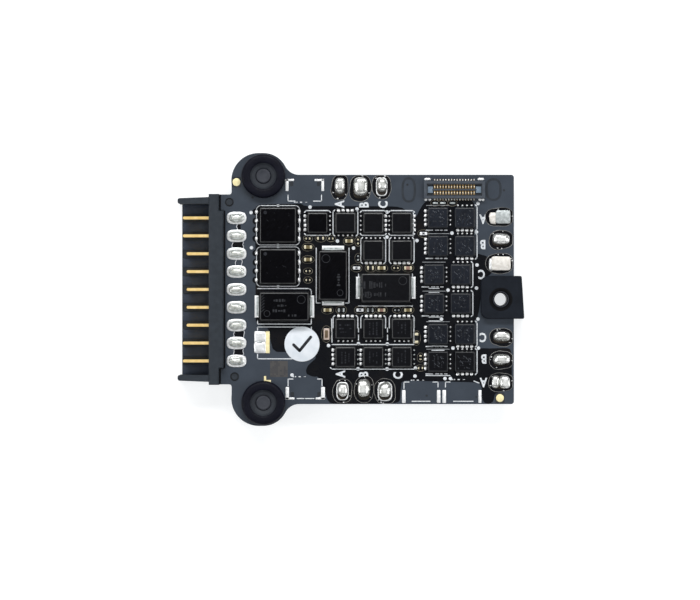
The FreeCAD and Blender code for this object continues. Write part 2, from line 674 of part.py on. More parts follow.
def wire_pads(motor, x, y, axis, spacing):
    """Three solder mounds where a motor's wires are joined, in a line along X or Y."""
    body = new_body(f"motor_{motor}_wire_pads", z=BOARD_TOP)
    length, width = ("mound_width", "mound_length") if axis == "X_Axis" else ("mound_length", "mound_width")
    first_x = f"{x} - {spacing}" if axis == "X_Axis" else x
    first_y = f"{y} - {spacing}" if axis == "Y_Axis" else y
    bind(body, Placement__Base__x=first_x, Placement__Base__y=first_y)
    pad(body, centred(new_sketch(body), length, width), "mound_height")
    ends = corners(value(length) / 2, value(width) / 2)
    dress(body, "Fillet", upright_edges(body, ends), "mound_width * 0.42")
    dress(body, "Fillet", level_edges(body, value("mound_height")), "mound_rounding")
    row(body, axis, 3, spacing)
    return keep(body, f"motor_{motor}_wire_pads")


def leaded_package(name, x, y, turns, prefix, length, width):
    """Moulded chip package with four flat leads at each end."""
    body = new_body(name, x, y, BOARD_TOP, turns)
    pad(body, centred(new_sketch(body), length, width), f"{prefix}_height")
    dress(body, "Chamfer", level_edges(body, value(f"{prefix}_height")), f"{prefix}_bevel")
    first = f"-1.5 * {prefix}_lead_pitch"
    lead = pad(body, rectangle(
        new_sketch(body), f"-{prefix}_lead_reach", f"{prefix}_lead_reach",
        f"{first} - {prefix}_lead_width / 2", f"{first} + {prefix}_lead_width / 2",
    ), f"{prefix}_lead_height")
    row(body, "Y_Axis", 4, f"{prefix}_lead_pitch", lead)
    return keep(body, name)


def transistors():
    for motor, places in TRANSISTORS.items():
        for index, (x, y, turns) in enumerate(places, 1):
            leaded_package(f"motor_{motor}_transistor_{index}", x, y, turns, "fet", "fet_size", "fet_size")
    for index in (1, 2):
        leaded_package(f"power_switch_{index}", "switch_x", f"upper_switch_y - {index - 1} * switch_spacing",
                       0, "switch", "switch_length", "switch_width")


def bulk_capacitor(index, x, y, turns):
    """Moulded capacitor with a folded terminal up each end."""
    body = new_body(f"bulk_capacitor_{index}", x, y, BOARD_TOP, turns)
    pad(body, centred(new_sketch(body), "bulk_length", "bulk_width"), "bulk_height")
    dress(body, "Chamfer", level_edges(body, value("bulk_height")), "bulk_bevel")
    pad(body, centred(new_sketch(body), "bulk_length + 2 * bulk_tab_thickness", "bulk_tab_width"),
        "bulk_tab_height")
    return keep(body, f"bulk_capacitor_{index}")


def spare_capacitor_pad():
    """The bare, tinned pad of the place left for a fourth bulk capacitor."""
    body = new_body("spare_capacitor_pad", "left_bulk_x - spare_pad_offset", "spare_bulk_y", BOARD_TOP)
    pad(body, centred(new_sketch(body), "spare_pad_length", "spare_pad_width"), "spare_pad_height")
    dress(body, "Fillet", level_edges(body, value("spare_pad_height")), "spare_pad_height * 0.8")
    return keep(body, "spare_capacitor_pad")


def board_connector():
    """Low connector: a ring wall round a cavity with a tongue, two rows of contacts, and two end clips."""
    contacts = new_body("board_connector_contacts", "socket_x", "socket_y", BOARD_TOP)
    outline = new_sketch(contacts, "-(pin_count - 1) / 2 * pin_pitch", "YZ_Plane")
    inner, outer = "socket_cavity_width / 2 - pin_spring_width", "socket_cavity_width / 2"
    for side in ("", "-"):
        polygon(outline, [
            (f"{side}pin_reach", 0), (f"{side}({inner})", 0), (f"{side}({inner})", "pin_spring_height"),
            (f"{side}({outer})", "pin_spring_height"), (f"{side}({outer})", "pin_thickness"),
            (f"{side}pin_reach", "pin_thickness"),
        ])
    row(contacts, "X_Axis", "pin_count", "pin_pitch", pad(contacts, outline, "pin_width", symmetric=True))
    keep(contacts, "board_connector_contacts")
    clip_x = "socket_cavity_length / 2 - clip_length / 2"
    clips = group("board_connector_clips", blocks("board_connector_clip", [
        (f"socket_x - ({clip_x})", "socket_y", 0), (f"socket_x + {clip_x}", "socket_y", 0),
    ], "clip_length", "clip_width", "clip_height", BOARD_TOP))
    body = new_body("socket_moulding", "socket_x", "socket_y", BOARD_TOP)
    pad(body, centred(new_sketch(body), "socket_length", "socket_width"), "socket_height")
    pocket(body, centred(new_sketch(body, "socket_floor"), "socket_cavity_length", "socket_cavity_width"),
           "socket_height")
    pad(body, centred(new_sketch(body, "socket_floor"), "socket_tongue_length", "socket_tongue_width"),
        "socket_tongue_height")
    moulded_round("board_connector_housing", body, [contacts, clips])


def label():
    body = new_body("inspection_label", "label_x", "label_y", BOARD_TOP)
    pad(body, circle(new_sketch(body), 0, 0, "label_radius"), "label_thickness")
    return keep(body, "inspection_label")


# ---------------------------------------------------------------- small chips on both sides


def hang(height):
    """Lower face of a part of that height on the underside."""
    return f"board_bottom - {height}"


def controller_places(step="0"):
    """Middles of the four underside chip groups, moved by step away from their controllers."""
    places = []
    for side in ("", "-"):
        places.append((f"controller_x + {step}", f"{side}controller_y", 0))
        places.append((f"controller_x + controller_spacing + {step}", f"{side}controller_y", 0))
    return places


def chip_parts():
    top = blocks("capacitor", SMALL_CAPACITORS, "chip_length", "chip_width", "capacitor_height", BOARD_TOP)
    top += blocks("large_capacitor", LARGE_CAPACITORS, "large_chip_length", "large_chip_width",
                  "large_chip_height", BOARD_TOP)
    below = [(f"{x} + {dx}", f"{y} + {dy}", turns)
             for x, y, _ in controller_places() for dx, dy, turns in UNDERSIDE_CHIPS]
    top += blocks("underside_capacitor", below, "chip_length", "chip_width", "capacitor_height",
                  hang("capacitor_height"))
    group("ceramic_capacitors", top)
    group("chip_resistors", blocks("resistor", RESISTORS, "chip_length", "chip_width", "resistor_height",
                                   BOARD_TOP))


def underside_chips():
    group("motor_controllers", blocks("controller", controller_places(), "controller_size",
                                      "controller_size", "controller_height", hang("controller_height")))
    group("gate_drivers", blocks("driver", controller_places("driver_gap"), "driver_size", "driver_size",
                                 "driver_height", hang("driver_height")))
    shunts = [(f"shunt_x + {column} * shunt_spacing", f"{side}shunt_y", 1)
              for column in (0, 1) for side in ("", "-")]
    group("current_shunts", blocks("shunt", shunts, "shunt_length", "shunt_width", "shunt_height",
                                   hang("shunt_height")))
    parts = blocks("regulator", [("regulator_x", 0, 0)], "regulator_size", "regulator_size",
                   "regulator_chip_height", hang("regulator_chip_height"))
    parts += blocks("inductor", [("inductor_x", 0, 0)], "regulator_size", "regulator_size",
                    "regulator_height", hang("regulator_height"))
    group("voltage_regulator", parts)


def build():
    fill_sheet()
    circuit_board()
    blades = [battery_blade(index) for index in range(1, 10)]
    connector_housing(blades)
    blade_solder_joints(blades)
    grommet("upper_grommet", "")
    grommet("lower_grommet", "-")
    edge_damper()
    damper_sleeve()
    transistors()
    bulk_capacitor(1, "left_bulk_x", "left_bulk_y", 0)
    bulk_capacitor(2, "tall_bulk_x", "tall_bulk_y", 1)
    bulk_capacitor(3, "middle_bulk_x", "middle_bulk_y", 0)
    spare_capacitor_pad()
    board_connector()
    wire_pads(1, "upper_mound_x", "long_edge_mound_y", "X_Axis", "mound_pitch")
    wire_pads(2, "lower_mound_x", "-long_edge_mound_y", "X_Axis", "mound_pitch")
    wire_pads(3, "free_edge_mound_x", "free_edge_upper_y", "Y_Axis", "free_edge_mound_pitch")
    wire_pads(4, "free_edge_mound_x", "free_edge_lower_y", "Y_Axis", "free_edge_mound_pitch")
    chip_parts()
    label()
    underside_chips()
    doc.recompute()


def export():
    """Writes one file per sub-part once everything has computed cleanly."""
    for item in doc.Objects:
        if {"Invalid", "Error"} & set(item.State):
            raise RuntimeError(f"{item.Name} did not compute: {item.State}")
    os.makedirs("parts", exist_ok=True)
    for node in nodes:
        if node.Shape.isNull() or not node.Shape.isValid() or not node.Shape.Solids:
            raise RuntimeError(f"{node.Label} has no sound solid")
        node.Shape.exportStep(f"parts/{node.Label}.step")
    print(len(nodes), "sub-parts written")


build()
export()
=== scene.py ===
import random
from math import atan2, copysign, cos, hypot, pi, radians, sin

import bmesh
import bpy
from mathutils import Matrix, Vector


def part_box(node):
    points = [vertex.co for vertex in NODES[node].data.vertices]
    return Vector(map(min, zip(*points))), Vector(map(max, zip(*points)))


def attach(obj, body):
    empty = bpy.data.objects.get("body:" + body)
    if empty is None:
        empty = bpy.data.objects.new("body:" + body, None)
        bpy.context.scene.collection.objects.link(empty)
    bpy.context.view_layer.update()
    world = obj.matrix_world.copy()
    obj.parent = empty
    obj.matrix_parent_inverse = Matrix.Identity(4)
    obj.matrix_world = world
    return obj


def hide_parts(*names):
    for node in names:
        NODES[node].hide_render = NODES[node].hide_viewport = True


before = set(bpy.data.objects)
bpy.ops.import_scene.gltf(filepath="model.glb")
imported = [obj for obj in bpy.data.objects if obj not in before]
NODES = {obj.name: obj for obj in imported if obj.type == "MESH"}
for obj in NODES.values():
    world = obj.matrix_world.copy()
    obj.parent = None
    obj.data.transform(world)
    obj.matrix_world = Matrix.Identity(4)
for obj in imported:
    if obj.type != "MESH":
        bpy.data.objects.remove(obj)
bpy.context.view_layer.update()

# Looks of a four-motor speed controller board. Pieces are drawn in millimetres in the part's own frame
# (+X to the free edge, +Y across, +Z out of the component side) and scaled to metres when they are made.

MM = 0.001
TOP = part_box("circuit_board")[1].z / MM
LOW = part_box("circuit_board")[0].z / MM
COAT = 0.03  # coating over the board
RIGHT_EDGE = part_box("circuit_board")[1].x / MM - 0.2  # printing and flux stay inside this
SIDE_EDGE = 16.2
INK = 0.05  # printed lines stand this high over the bare board
SUNK = TOP - 0.01  # flat marks start just inside the board
FLUSH = TOP + 0.012  # and end just over it
SEAT = TOP + 0.01  # solder starts here
SMALL_HEIGHT, POWER_HEIGHT, BULK_HEIGHT = 0.79, 0.99, 1.99  # a shade under the CAD's packages
BLADES = range(1, 10)
BEAD_SIDES, TURNED_SIDES = 6, 64  # how finely beads and turned solids are cut
LEADS, PINS = 0.65, 1.27  # lead pitches of the bridge and the power transistors

# --- materials


def show(item):
    """Adds an object to the scene."""
    bpy.context.scene.collection.objects.link(item)


class Paint:
    """A Principled material with helpers for procedural detail in object space."""

    def __init__(self, name, colour, roughness, metallic=0.0, specular=0.5):
        self.material = bpy.data.materials.new(name)
        self.material.use_nodes = True
        self.nodes = self.material.node_tree.nodes
        self.links = self.material.node_tree.links
        self.shader = self.nodes["Principled BSDF"]
        for socket, value in (("Base Color", (*colour, 1)), ("Roughness", roughness), ("Metallic", metallic),
                              ("Specular IOR Level", specular)):
            self.shader.inputs[socket].default_value = value
        self.place = self.node("TexCoord").outputs["Object"]

    def node(self, kind, **values):
        """A new shader node with some of its inputs set."""
        made = self.nodes.new("ShaderNode" + kind)
        for socket, value in values.items():
            made.inputs[socket].default_value = value
        return made

    def noise(self, size, detail=4.0, roughness=0.55, stretch=(1, 1, 1), turn=0.0):
        """Noise with features of about that size in millimetres, turned about Z and then drawn out."""
        mapping = self.node("Mapping", Scale=stretch, Rotation=(0, 0, turn))
        mapping.vector_type = "TEXTURE"
        self.links.new(self.place, mapping.inputs["Vector"])
        texture = self.node("TexNoise", Scale=1 / (size * MM), Detail=detail, Roughness=roughness)
        self.links.new(mapping.outputs["Vector"], texture.inputs["Vector"])
        return texture.outputs["Fac"]

    def ramp(self, source, *stops):
        """A colour ramp over a value: stops are (place, colour or grey)."""
        node = self.node("ValToRGB")
        elements = node.color_ramp.elements
        while len(elements) < len(stops):
            elements.new(0.5)
        for element, (place, value) in zip(elements, stops):
            element.position = place
            element.color = (*value, 1) if isinstance(value, tuple) else (value, value, value, 1)
        self.links.new(source, node.inputs["Fac"])
        return node.outputs["Color"]

    def mix(self, share, first, second):
        """first where share is 0, second where it is 1; each is an output or a colour."""
        node = self.node("Mix")
        node.data_type = "RGBA"
        for index, value in ((0, share), (6, first), (7, second)):
            if isinstance(value, bpy.types.NodeSocket):
                self.links.new(value, node.inputs[index])
            elif isinstance(value, tuple):
                node.inputs[index].default_value = (*value, 1)
            else:
                node.inputs[index].default_value = value
        return node.outputs[2]

    def colour(self, output):
        self.links.new(output, self.shader.inputs["Base Color"])

    def mottle(self, size, dark, light, detail=4.0):
        """Base colour that drifts between two colours."""
        self.colour(self.ramp(self.noise(size, detail), (0.3, dark), (0.7, light)))

    def gloss(self, size, smooth, rough):
        """Roughness that drifts between two values."""
        self.links.new(self.ramp(self.noise(size), (0.3, smooth), (0.7, rough)),
                       self.shader.inputs["Roughness"])

    def bump(self, height, depth):
        """Surface relief from an output, that many millimetres deep, on top of any relief so far."""
        node = self.node("Bump", Strength=1.0, Distance=depth * MM)
        self.links.new(height, node.inputs["Height"])
        earlier = self.shader.inputs["Normal"].links
        if earlier:
            self.links.new(earlier[0].from_socket, node.inputs["Normal"])
        self.links.new(node.outputs["Normal"], self.shader.inputs["Normal"])


def facing_up(paint):
    """0 on walls and 1 on level faces, from the surface's own direction."""
    split = paint.node("SeparateXYZ")
    paint.links.new(paint.nodes["Texture Coordinate"].outputs["Normal"], split.inputs["Vector"])
    size = paint.node("Math")
    size.operation = "ABSOLUTE"
    paint.links.new(split.outputs["Z"], size.inputs[0])
    return paint.ramp(size.outputs[0], (0.4, 0.0), (0.6, 1.0))


def mask_paint():
    """Dark slate solder mask on level faces, and glass laminate on the cut edges."""
    paint = Paint("solder_mask", (0.03, 0.037, 0.048), 0.42, specular=0.3)
    film = paint.ramp(paint.noise(3.0, 5.0), (0.25, (0.024, 0.033, 0.047)), (0.75, (0.035, 0.046, 0.063)))
    weave = paint.ramp(paint.noise(0.35, 3.0, stretch=(1, 1, 4)),
                       (0.35, (0.016, 0.017, 0.016)), (0.7, (0.045, 0.044, 0.038)))
    paint.colour(paint.mix(facing_up(paint), weave, film))
    paint.gloss(1.2, 0.34, 0.46)
    paint.bump(paint.noise(0.12, 3.0), 0.004)
    return paint.material


def coating_paint():
    """Glossy near-black lacquer over the power stages, with faint warm and cold stains."""
    paint = Paint("coating", (0.003, 0.0036, 0.0055), 0.3, specular=0.08)
    stain = paint.ramp(paint.noise(2.4, 4.0), (0.3, (0.0015, 0.002, 0.004)), (0.55, (0.003, 0.0036, 0.0055)),
                       (0.8, (0.008, 0.0065, 0.0065)))
    paint.colour(stain)
    paint.gloss(0.7, 0.2, 0.4)
    paint.bump(paint.noise(0.6, 3.0), 0.05)
    return paint.material


def ink_paint():
    """White printing ink, slightly patchy."""
    paint = Paint("white_ink", (0.7, 0.72, 0.75), 0.6, specular=0.3)
    paint.mottle(0.25, (0.44, 0.47, 0.5), (0.76, 0.79, 0.82))
    paint.bump(paint.noise(0.08, 2.0), 0.006)
    return paint.material


def metal(name, dark, light, smooth=0.3, rough=0.5, grain=0.2, relief=0.01, metallic=0.6):
    paint = Paint(name, light, rough, metallic=metallic)
    paint.mottle(grain * 2, dark, light)
    paint.gloss(grain, smooth, rough)
    paint.bump(paint.noise(grain, 3.0), relief)
    return paint.material


def moulded(name, dark, light, smooth=0.35, rough=0.5, grain=0.08, relief=0.006, specular=0.3):
    """Moulded plastic or epoxy: fine pits over a slow colour drift."""
    paint = Paint(name, light, rough, specular=specular)
    paint.mottle(grain * 12, dark, light, 6.0)
    paint.gloss(grain * 6, smooth, rough)
    paint.bump(paint.noise(grain, 2.0), relief)
    paint.bump(paint.noise(grain * 10, 2.0), relief)
    return paint.material


def worn_paint(name, dark, light, sheen, specular=0.12):
    """Package tops scuffed by handling: fine slanting streaks over a slow drift."""
    paint = Paint(name, light, 0.4, specular=specular)
    streaks = paint.noise(0.22, 5.0, 0.7, (4, 1, 1), 0.9)
    drift = paint.noise(1.1, 3.0)
    worn = paint.ramp(streaks, (0.35, dark), (0.56, light), (0.76, sheen))
    paint.colour(paint.mix(paint.ramp(drift, (0.4, 0.0), (0.62, 1.0)), worn, light))
    paint.gloss(0.3, 0.3, 0.48)
    paint.bump(paint.noise(0.05, 2.0), 0.006)
    return paint.material


MASK = mask_paint()
COATING = coating_paint()
INK_WHITE = ink_paint()
GOLD = metal("gold_plating", (0.78, 0.55, 0.2), (0.95, 0.72, 0.34), 0.3, 0.42, 0.4, 0.003, 0.75)
PALE_GOLD = metal("pale_gold", (0.82, 0.7, 0.36), (0.98, 0.9, 0.55), 0.35, 0.45, 0.15, 0.004, 0.3)
# Socket springs: gold darkened to brown as painted shade in the narrow socket, and a pale crest colour as a
# painted highlight.
SHADED_CONTACT = metal("shaded_contact_gold", (0.2, 0.12, 0.035), (0.42, 0.28, 0.11), 0.3, 0.42, 0.1, 0.003, 0.7)
CREST_HIGHLIGHT = metal("contact_crest_highlight", (0.7, 0.62, 0.48), (0.92, 0.86, 0.74), 0.3, 0.45, 0.1, 0.003, 0.3)
MOUND = metal("solder_mound", (0.5, 0.51, 0.48), (0.9, 0.91, 0.9), 0.2, 0.36, 0.5, 0.04, 0.85)
JOINT = metal("blade_joint", (0.42, 0.44, 0.4), (0.85, 0.87, 0.84), 0.26, 0.42, 0.2, 0.03, 0.75)
PASTE = metal("flat_solder", (0.55, 0.52, 0.47), (0.82, 0.8, 0.76), 0.4, 0.55, 0.3, 0.02, 0.3)
COLLAR = metal("solder_collar", (0.62, 0.64, 0.64), (0.92, 0.93, 0.94), 0.3, 0.5, 0.2, 0.02, 0.6)
TIN = metal("tinned_lead", (0.8, 0.82, 0.83), (0.95, 0.96, 0.97))
DULL_TIN = metal("dull_lead", (0.3, 0.33, 0.33), (0.62, 0.66, 0.66))
CREAM = metal("warm_tin", (0.56, 0.5, 0.34), (0.8, 0.75, 0.56), 0.3, 0.5, 0.12, 0.006, 0.5)
NYLON = moulded("connector_plastic", (0.013, 0.018, 0.025), (0.021, 0.028, 0.037), 0.42, 0.6, 0.06, 0.008)
SOCKET = moulded("socket_plastic", (0.035, 0.043, 0.056), (0.055, 0.066, 0.083), 0.42, 0.6, 0.06, 0.006)
RUBBER = moulded("black_rubber", (0.0016, 0.002, 0.006), (0.0036, 0.004, 0.01), 0.4, 0.6, 0.1, 0.01, 0.12)
PALE_RUBBER = moulded("pale_rubber", (0.019, 0.022, 0.028), (0.029, 0.034, 0.042), 0.5, 0.7, 0.1, 0.012, 0.2)
GREY_RUBBER = moulded("grey_rubber", (0.03, 0.033, 0.042), (0.047, 0.051, 0.062), 0.5, 0.7, 0.1, 0.012, 0.2)
EPOXY = moulded("package_mould", (0.0016, 0.0018, 0.003),
                (0.0036, 0.004, 0.0058), 0.26, 0.4, 0.05, 0.004, 0.08)
JET = worn_paint("jet_mould", (0.0006, 0.0006, 0.001), (0.0018, 0.0018, 0.0027), (0.006, 0.0065, 0.009), 0.03)
HAZY = worn_paint("hazy_mould", (0.0032, 0.0045, 0.0075), (0.0085, 0.0112, 0.0178), (0.04, 0.048, 0.064))
MURKY = worn_paint("murky_mould", (0.002, 0.0028, 0.0055), (0.0055, 0.0075, 0.0128), (0.022, 0.027, 0.038))
# Lighter materials for the packages' shallow edge strip: a painted highlight, dimmer for the hazier tops.
EDGE_HIGHLIGHT = moulded("mould_edge_highlight", (0.02, 0.021, 0.022), (0.045, 0.047, 0.048), 0.28, 0.4, 0.05, 0.003, 0.6)
DIM_EDGE_HIGHLIGHT = moulded("dim_edge_highlight", (0.011, 0.012, 0.014), (0.024, 0.026, 0.03), 0.28, 0.4, 0.05, 0.003, 0.35)
ETCH = moulded("etched_mark", (0.014, 0.015, 0.018), (0.036, 0.038, 0.043), 0.5, 0.7, 0.03, 0.003, 0.1)
OLIVE = moulded("ceramic", (0.11, 0.085, 0.035), (0.17, 0.135, 0.06))
PINK = moulded("pink_ceramic", (0.2, 0.115, 0.085), (0.3, 0.18, 0.14))
BROWN = moulded("brown_ceramic", (0.085, 0.055, 0.03), (0.13, 0.09, 0.05))
BLUSH = moulded("blush_ceramic", (0.4, 0.32, 0.27), (0.56, 0.46, 0.4))
GLAZE = moulded("resistor_glaze", (0.004, 0.0045, 0.006), (0.012, 0.013, 0.015), 0.2, 0.4, 0.08, 0.004, 0.2)
CHALK = moulded("pale_resistor", (0.45, 0.46, 0.49), (0.65, 0.67, 0.7), 0.4, 0.6, 0.08, 0.006)
FILM = moulded("label_film", (0.6, 0.65, 0.7), (0.72, 0.76, 0.8), 0.4, 0.55, 0.12, 0.003)
LABEL_INK = moulded("label_ink", (0.01, 0.011, 0.016), (0.02, 0.021, 0.027), 0.4, 0.6, 0.1, 0.003)
# Pale bead on the raised edge of the flux pools: painted highlight.
RIM_HIGHLIGHT = moulded("coating_rim_highlight", (0.09, 0.088, 0.08), (0.42, 0.42, 0.4), 0.15, 0.35, 0.1, 0.008, 0.6)
# Pale ring the coating draws up round chip parts: painted highlight.
HALO_HIGHLIGHT = moulded("coating_halo_highlight", (0.05, 0.045, 0.032), (0.19, 0.175, 0.135), 0.15, 0.35, 0.08, 0.006, 0.5)
LASER = moulded("laser_mark", (0.012, 0.0135, 0.017), (0.028, 0.03, 0.036), 0.5, 0.7, 0.05, 0.003, 0.1)
SCUFF = moulded("scuff", (0.03, 0.036, 0.046), (0.17, 0.185, 0.21), 0.3, 0.5, 0.03, 0.003, 0.3)
SLEEVE = moulded("sleeve", (0.002, 0.002, 0.0026), (0.004, 0.004, 0.005), 0.3, 0.5, 0.1, 0.004, 0.1)
CLIP = metal("clip_metal", (0.12, 0.165, 0.22), (0.23, 0.3, 0.37), 0.35, 0.5, 0.2, 0.008, 0.5)
SHADOW = moulded("buried_copper", (0.014, 0.018, 0.024), (0.021, 0.027, 0.036), 0.36, 0.5, 0.08, 0.004)
TRACE = moulded("masked_edge", (0.012, 0.015, 0.019), (0.02, 0.024, 0.03), 0.36, 0.5, 0.08, 0.004)
STAIN = moulded("printed_code", (0.05, 0.049, 0.05), (0.066, 0.063, 0.061), 0.5, 0.65, 0.1, 0.004)
STAIN_CELL = moulded("printed_cell", (0.039, 0.039, 0.042), (0.051, 0.05, 0.052), 0.5, 0.65, 0.1, 0.004)
WORN_INK = moulded("worn_ink", (0.12, 0.13, 0.14), (0.36, 0.38, 0.4), 0.5, 0.65, 0.06, 0.004)
DAMPER = moulded("damper_rubber", (0.005, 0.0072, 0.0115),
                 (0.0085, 0.0115, 0.0175), 0.4, 0.6, 0.1, 0.01, 0.12)
# Dark brown flux round the solder mounds, also painted shade in the crescent below each dome.
FLUX_AND_SHADE = moulded("burnt_flux_and_shade", (0.004, 0.0035, 0.003), (0.03, 0.022, 0.014), 0.2, 0.4, 0.15, 0.02, 0.3)
# Paler, bluer copy of the housing plastic for the tray floor: painted light in the shade between the blades.
LIT_TRAY = moulded("lit_tray_plastic", (0.021, 0.03, 0.05), (0.034, 0.047, 0.075), 0.45, 0.6, 0.1, 0.006)

# --- outlines, in millimetres


def oval(length, width, power=2.0, count=24):
    """Points round a shape between an ellipse (power 2) and a rectangle (high powers)."""
    points = []
    for index in range(count):
        angle = 2 * pi * (index + 0.5) / count
        c, s = cos(angle), sin(angle)
        points.append((copysign(abs(c) ** (2 / power), c) * length / 2,
                       copysign(abs(s) ** (2 / power), s) * width / 2))
    return points


def rounded(length, width, radius=0.0, steps=3):
    """A rectangle round the origin with rounded corners."""
    if radius <= 0:
        return [(sx * length / 2, sy * width / 2) for sx, sy in ((-1, -1), (1, -1), (1, 1), (-1, 1))]
    points = []
    for quarter, (sx, sy) in enumerate([(1, 1), (-1, 1), (-1, -1), (1, -1)]):
        for step in range(steps + 1):
            angle = pi / 2 * (quarter + step / steps)
            points.append((sx * (length / 2 - radius) + radius * cos(angle),
                           sy * (width / 2 - radius) + radius * sin(angle)))
    return points


def placed(points, x=0.0, y=0.0, turns=0):
    """Outline points turned by quarter turns and moved to (x, y)."""
    for _ in range(turns % 4):
        points = [(-v, u) for u, v in points]
    return [(x + u, y + v) for u, v in points]


def spot(x, y, u, v, turns):
    """The point (u, v) away from (x, y), turned about it by quarter turns."""
    return placed([(u, v)], x, y, turns)[0]


def smoothed(points, rounds=2, closed=True, reach=9.0):
    """Corner cutting: each corner becomes two points, a quarter of the way or reach along its sides."""
    for _ in range(rounds):
        cut = []
        for (ax, ay), (bx, by) in zip(points, points[1:] + points[:1] if closed else points[1:]):
            share = min(0.25, reach / max(hypot(bx - ax, by - ay), 0.001))
            du, dv = share * (bx - ax), share * (by - ay)
            cut += [(ax + du, ay + dv), (bx - du, by - dv)]
        points = cut if closed else [points[0]] + cut + [points[-1]]
    return points


def uneven(points, amount, rng):
    """The same closed outline with a slow random wobble in and out from its middle."""
    waves = [(count, rng.uniform(0, 2 * pi), rng.uniform(0.4, 1.0) / count) for count in (2, 3, 5, 8)]
    mx = sum(u for u, _ in points) / len(points)
    my = sum(v for _, v in points) / len(points)
    moved = []
    for u, v in points:
        angle = atan2(v - my, u - mx)
        reach = hypot(u - mx, v - my)
        shift = amount * sum(size * sin(count * angle + phase) for count, phase, size in waves)
        moved.append((mx + (u - mx) * (1 + shift / reach), my + (v - my) * (1 + shift / reach)))
    return moved


def kept_on_board(points):
    """The same outline, held back from the board's edges."""
    return [(min(u, RIGHT_EDGE), max(-SIDE_EDGE, min(SIDE_EDGE, v))) for u, v in points]


# --- pieces


class Piece:
    """One mesh made of simple solids. Materials are numbered in the order given."""

    def __init__(self, name, *materials):
        self.name = name
        self.materials = materials
        self.mesh = bmesh.new()

    def loft(self, rings, paint=0):
        """A closed skin through rings of (x, y, z) points, with a face on each end."""
        rows = [[self.mesh.verts.new(point) for point in ring] for ring in rings]
        self.face(reversed(rows[0]), paint)
        self.face(rows[-1], paint)
        for lower, upper in zip(rows, rows[1:]):
            self.band(lower, upper, paint)

    def face(self, corners, paint):
        self.mesh.faces.new(corners).material_index = paint

    def band(self, lower, upper, paint):
        """Faces between two rings of the same number of points."""
        for i in range(len(lower)):
            j = (i + 1) % len(lower)
            self.face((lower[i], lower[j], upper[j], upper[i]), paint)

    def prism(self, outline, low, high, paint=0, bevel=0.0, x=0.0, y=0.0, turns=0):
        """An upright solid of one outline, its top edge bevelled by scaling the outline in."""
        levels = [(low, 0.0), (high, 0.0)]
        if bevel:
            levels = [(low, 0.0), (high - bevel, 0.0), (high - bevel * 0.3, bevel * 0.3), (high, bevel)]
        half_u = max(abs(u) for u, _ in outline)
        half_v = max(abs(v) for _, v in outline)
        rings = []
        for z, inset in levels:
            inner = [(u * (1 - inset / half_u), v * (1 - inset / half_v)) for u, v in outline]
            rings.append([(px, py, z) for px, py in placed(inner, x, y, turns)])
        self.loft(rings, paint)

    def block(self, x, y, length, width, low, high, paint=0, bevel=0.0, turns=0, radius=0.0):
        self.prism(rounded(length, width, radius), low, high, paint, bevel, x, y, turns)

    def blob(self, x, y, length, width, low, height, paint=0, turns=0, power=3.0, count=16, rows=5, rng=None,
             full=0.8):
        """A dome of solder; rng makes it slightly uneven, and a low full makes it plump."""
        base = oval(length, width, power, count)
        if rng:
            base = uneven(base, 0.06 * min(length, width), rng)
        lean = (rng.uniform(-0.12, 0.12), rng.uniform(-0.12, 0.12)) if rng else (0.0, 0.0)
        rings = []
        for row in range(rows):
            angle = pi / 2 * row / (rows - 0.4)
            scale, rise = cos(angle) ** full, sin(angle)
            drift, climb = lean[0] * rise * length, lean[1] * rise * width
            ring = [(u * scale + drift, v * scale + climb) for u, v in base]
            rings.append([(px, py, low + height * rise) for px, py in placed(ring, x, y, turns)])
        self.loft(rings, paint)

    def sweep(self, points, level, thick, paint=0, closed=True):
        """A round bead along points, sunk to its middle at that level."""
        loops = []
        count = len(points)
        for i, (px, py) in enumerate(points):
            ax, ay = points[i - 1] if closed or i else points[i]
            bx, by = points[(i + 1) % count] if closed or i < count - 1 else points[i]
            tangent = Vector((bx - ax, by - ay, 0)).normalized()
            out = Vector((tangent.y, -tangent.x, 0))
            centre = Vector((px, py, level))
            angles = [2 * pi * k / BEAD_SIDES for k in range(BEAD_SIDES)]
            spokes = [out * cos(a) + Vector((0, 0, sin(a))) for a in angles]
            loops.append([self.mesh.verts.new(centre + thick / 2 * spoke) for spoke in spokes])
        for i in range(count if closed else count - 1):
            self.band(loops[i], loops[(i + 1) % count], paint)
        if not closed:
            self.face(loops[0], paint)
            self.face(reversed(loops[-1]), paint)

    def ring(self, x, y, length, width, level, thick, paint=0, power=2.0, count=32, rng=None, wobble=0.0):
        """A bead round an oval, optionally uneven."""
        path = oval(length, width, power, count)
        if rng:
            path = uneven(path, wobble, rng)
        self.sweep(kept_on_board(placed(path, x, y)), level, thick, paint)

    def lathe(self, x, y, profile):
        """A turned solid: profile is (radius, z, material) from the bottom middle to the top middle."""
        rows = []
        for radius, z, _ in profile:
            angles = [2 * pi * k / TURNED_SIDES for k in range(TURNED_SIDES)]
            rows.append([self.mesh.verts.new((x + radius * cos(a), y + radius * sin(a), z)) for a in angles])
        self.face(reversed(rows[0]), profile[0][2])
        self.face(rows[-1], profile[-1][2])
        for lower, upper, (_, _, paint) in zip(rows, rows[1:], profile[1:]):
            self.band(lower, upper, paint)

    def line(self, ax, ay, bx, by, width, low, high, paint=0):
        """A straight printed line, round-ended."""
        along = Vector((bx - ax, by - ay))
        turn = atan2(along.y, along.x)
        outline = []
        for end, start in ((1, -90), (-1, 90)):
            for step in range(5):
                angle = radians(start + 45 * step)
                outline.append((end * along.length / 2 + width / 2 * cos(angle),
                                width / 2 * sin(angle)))
        c, s = cos(turn), sin(turn)
        mx, my = (ax + bx) / 2, (ay + by) / 2
        flat = [(mx + u * c - v * s, my + u * s + v * c) for u, v in outline]
        self.loft([[(px, py, z) for px, py in flat] for z in (low, high)], paint)

    def trail(self, points, width, low, high, paint=0):
        """Printed lines from point to point."""
        for start, end in zip(points, points[1:]):
            self.line(*start, *end, width, low, high, paint)

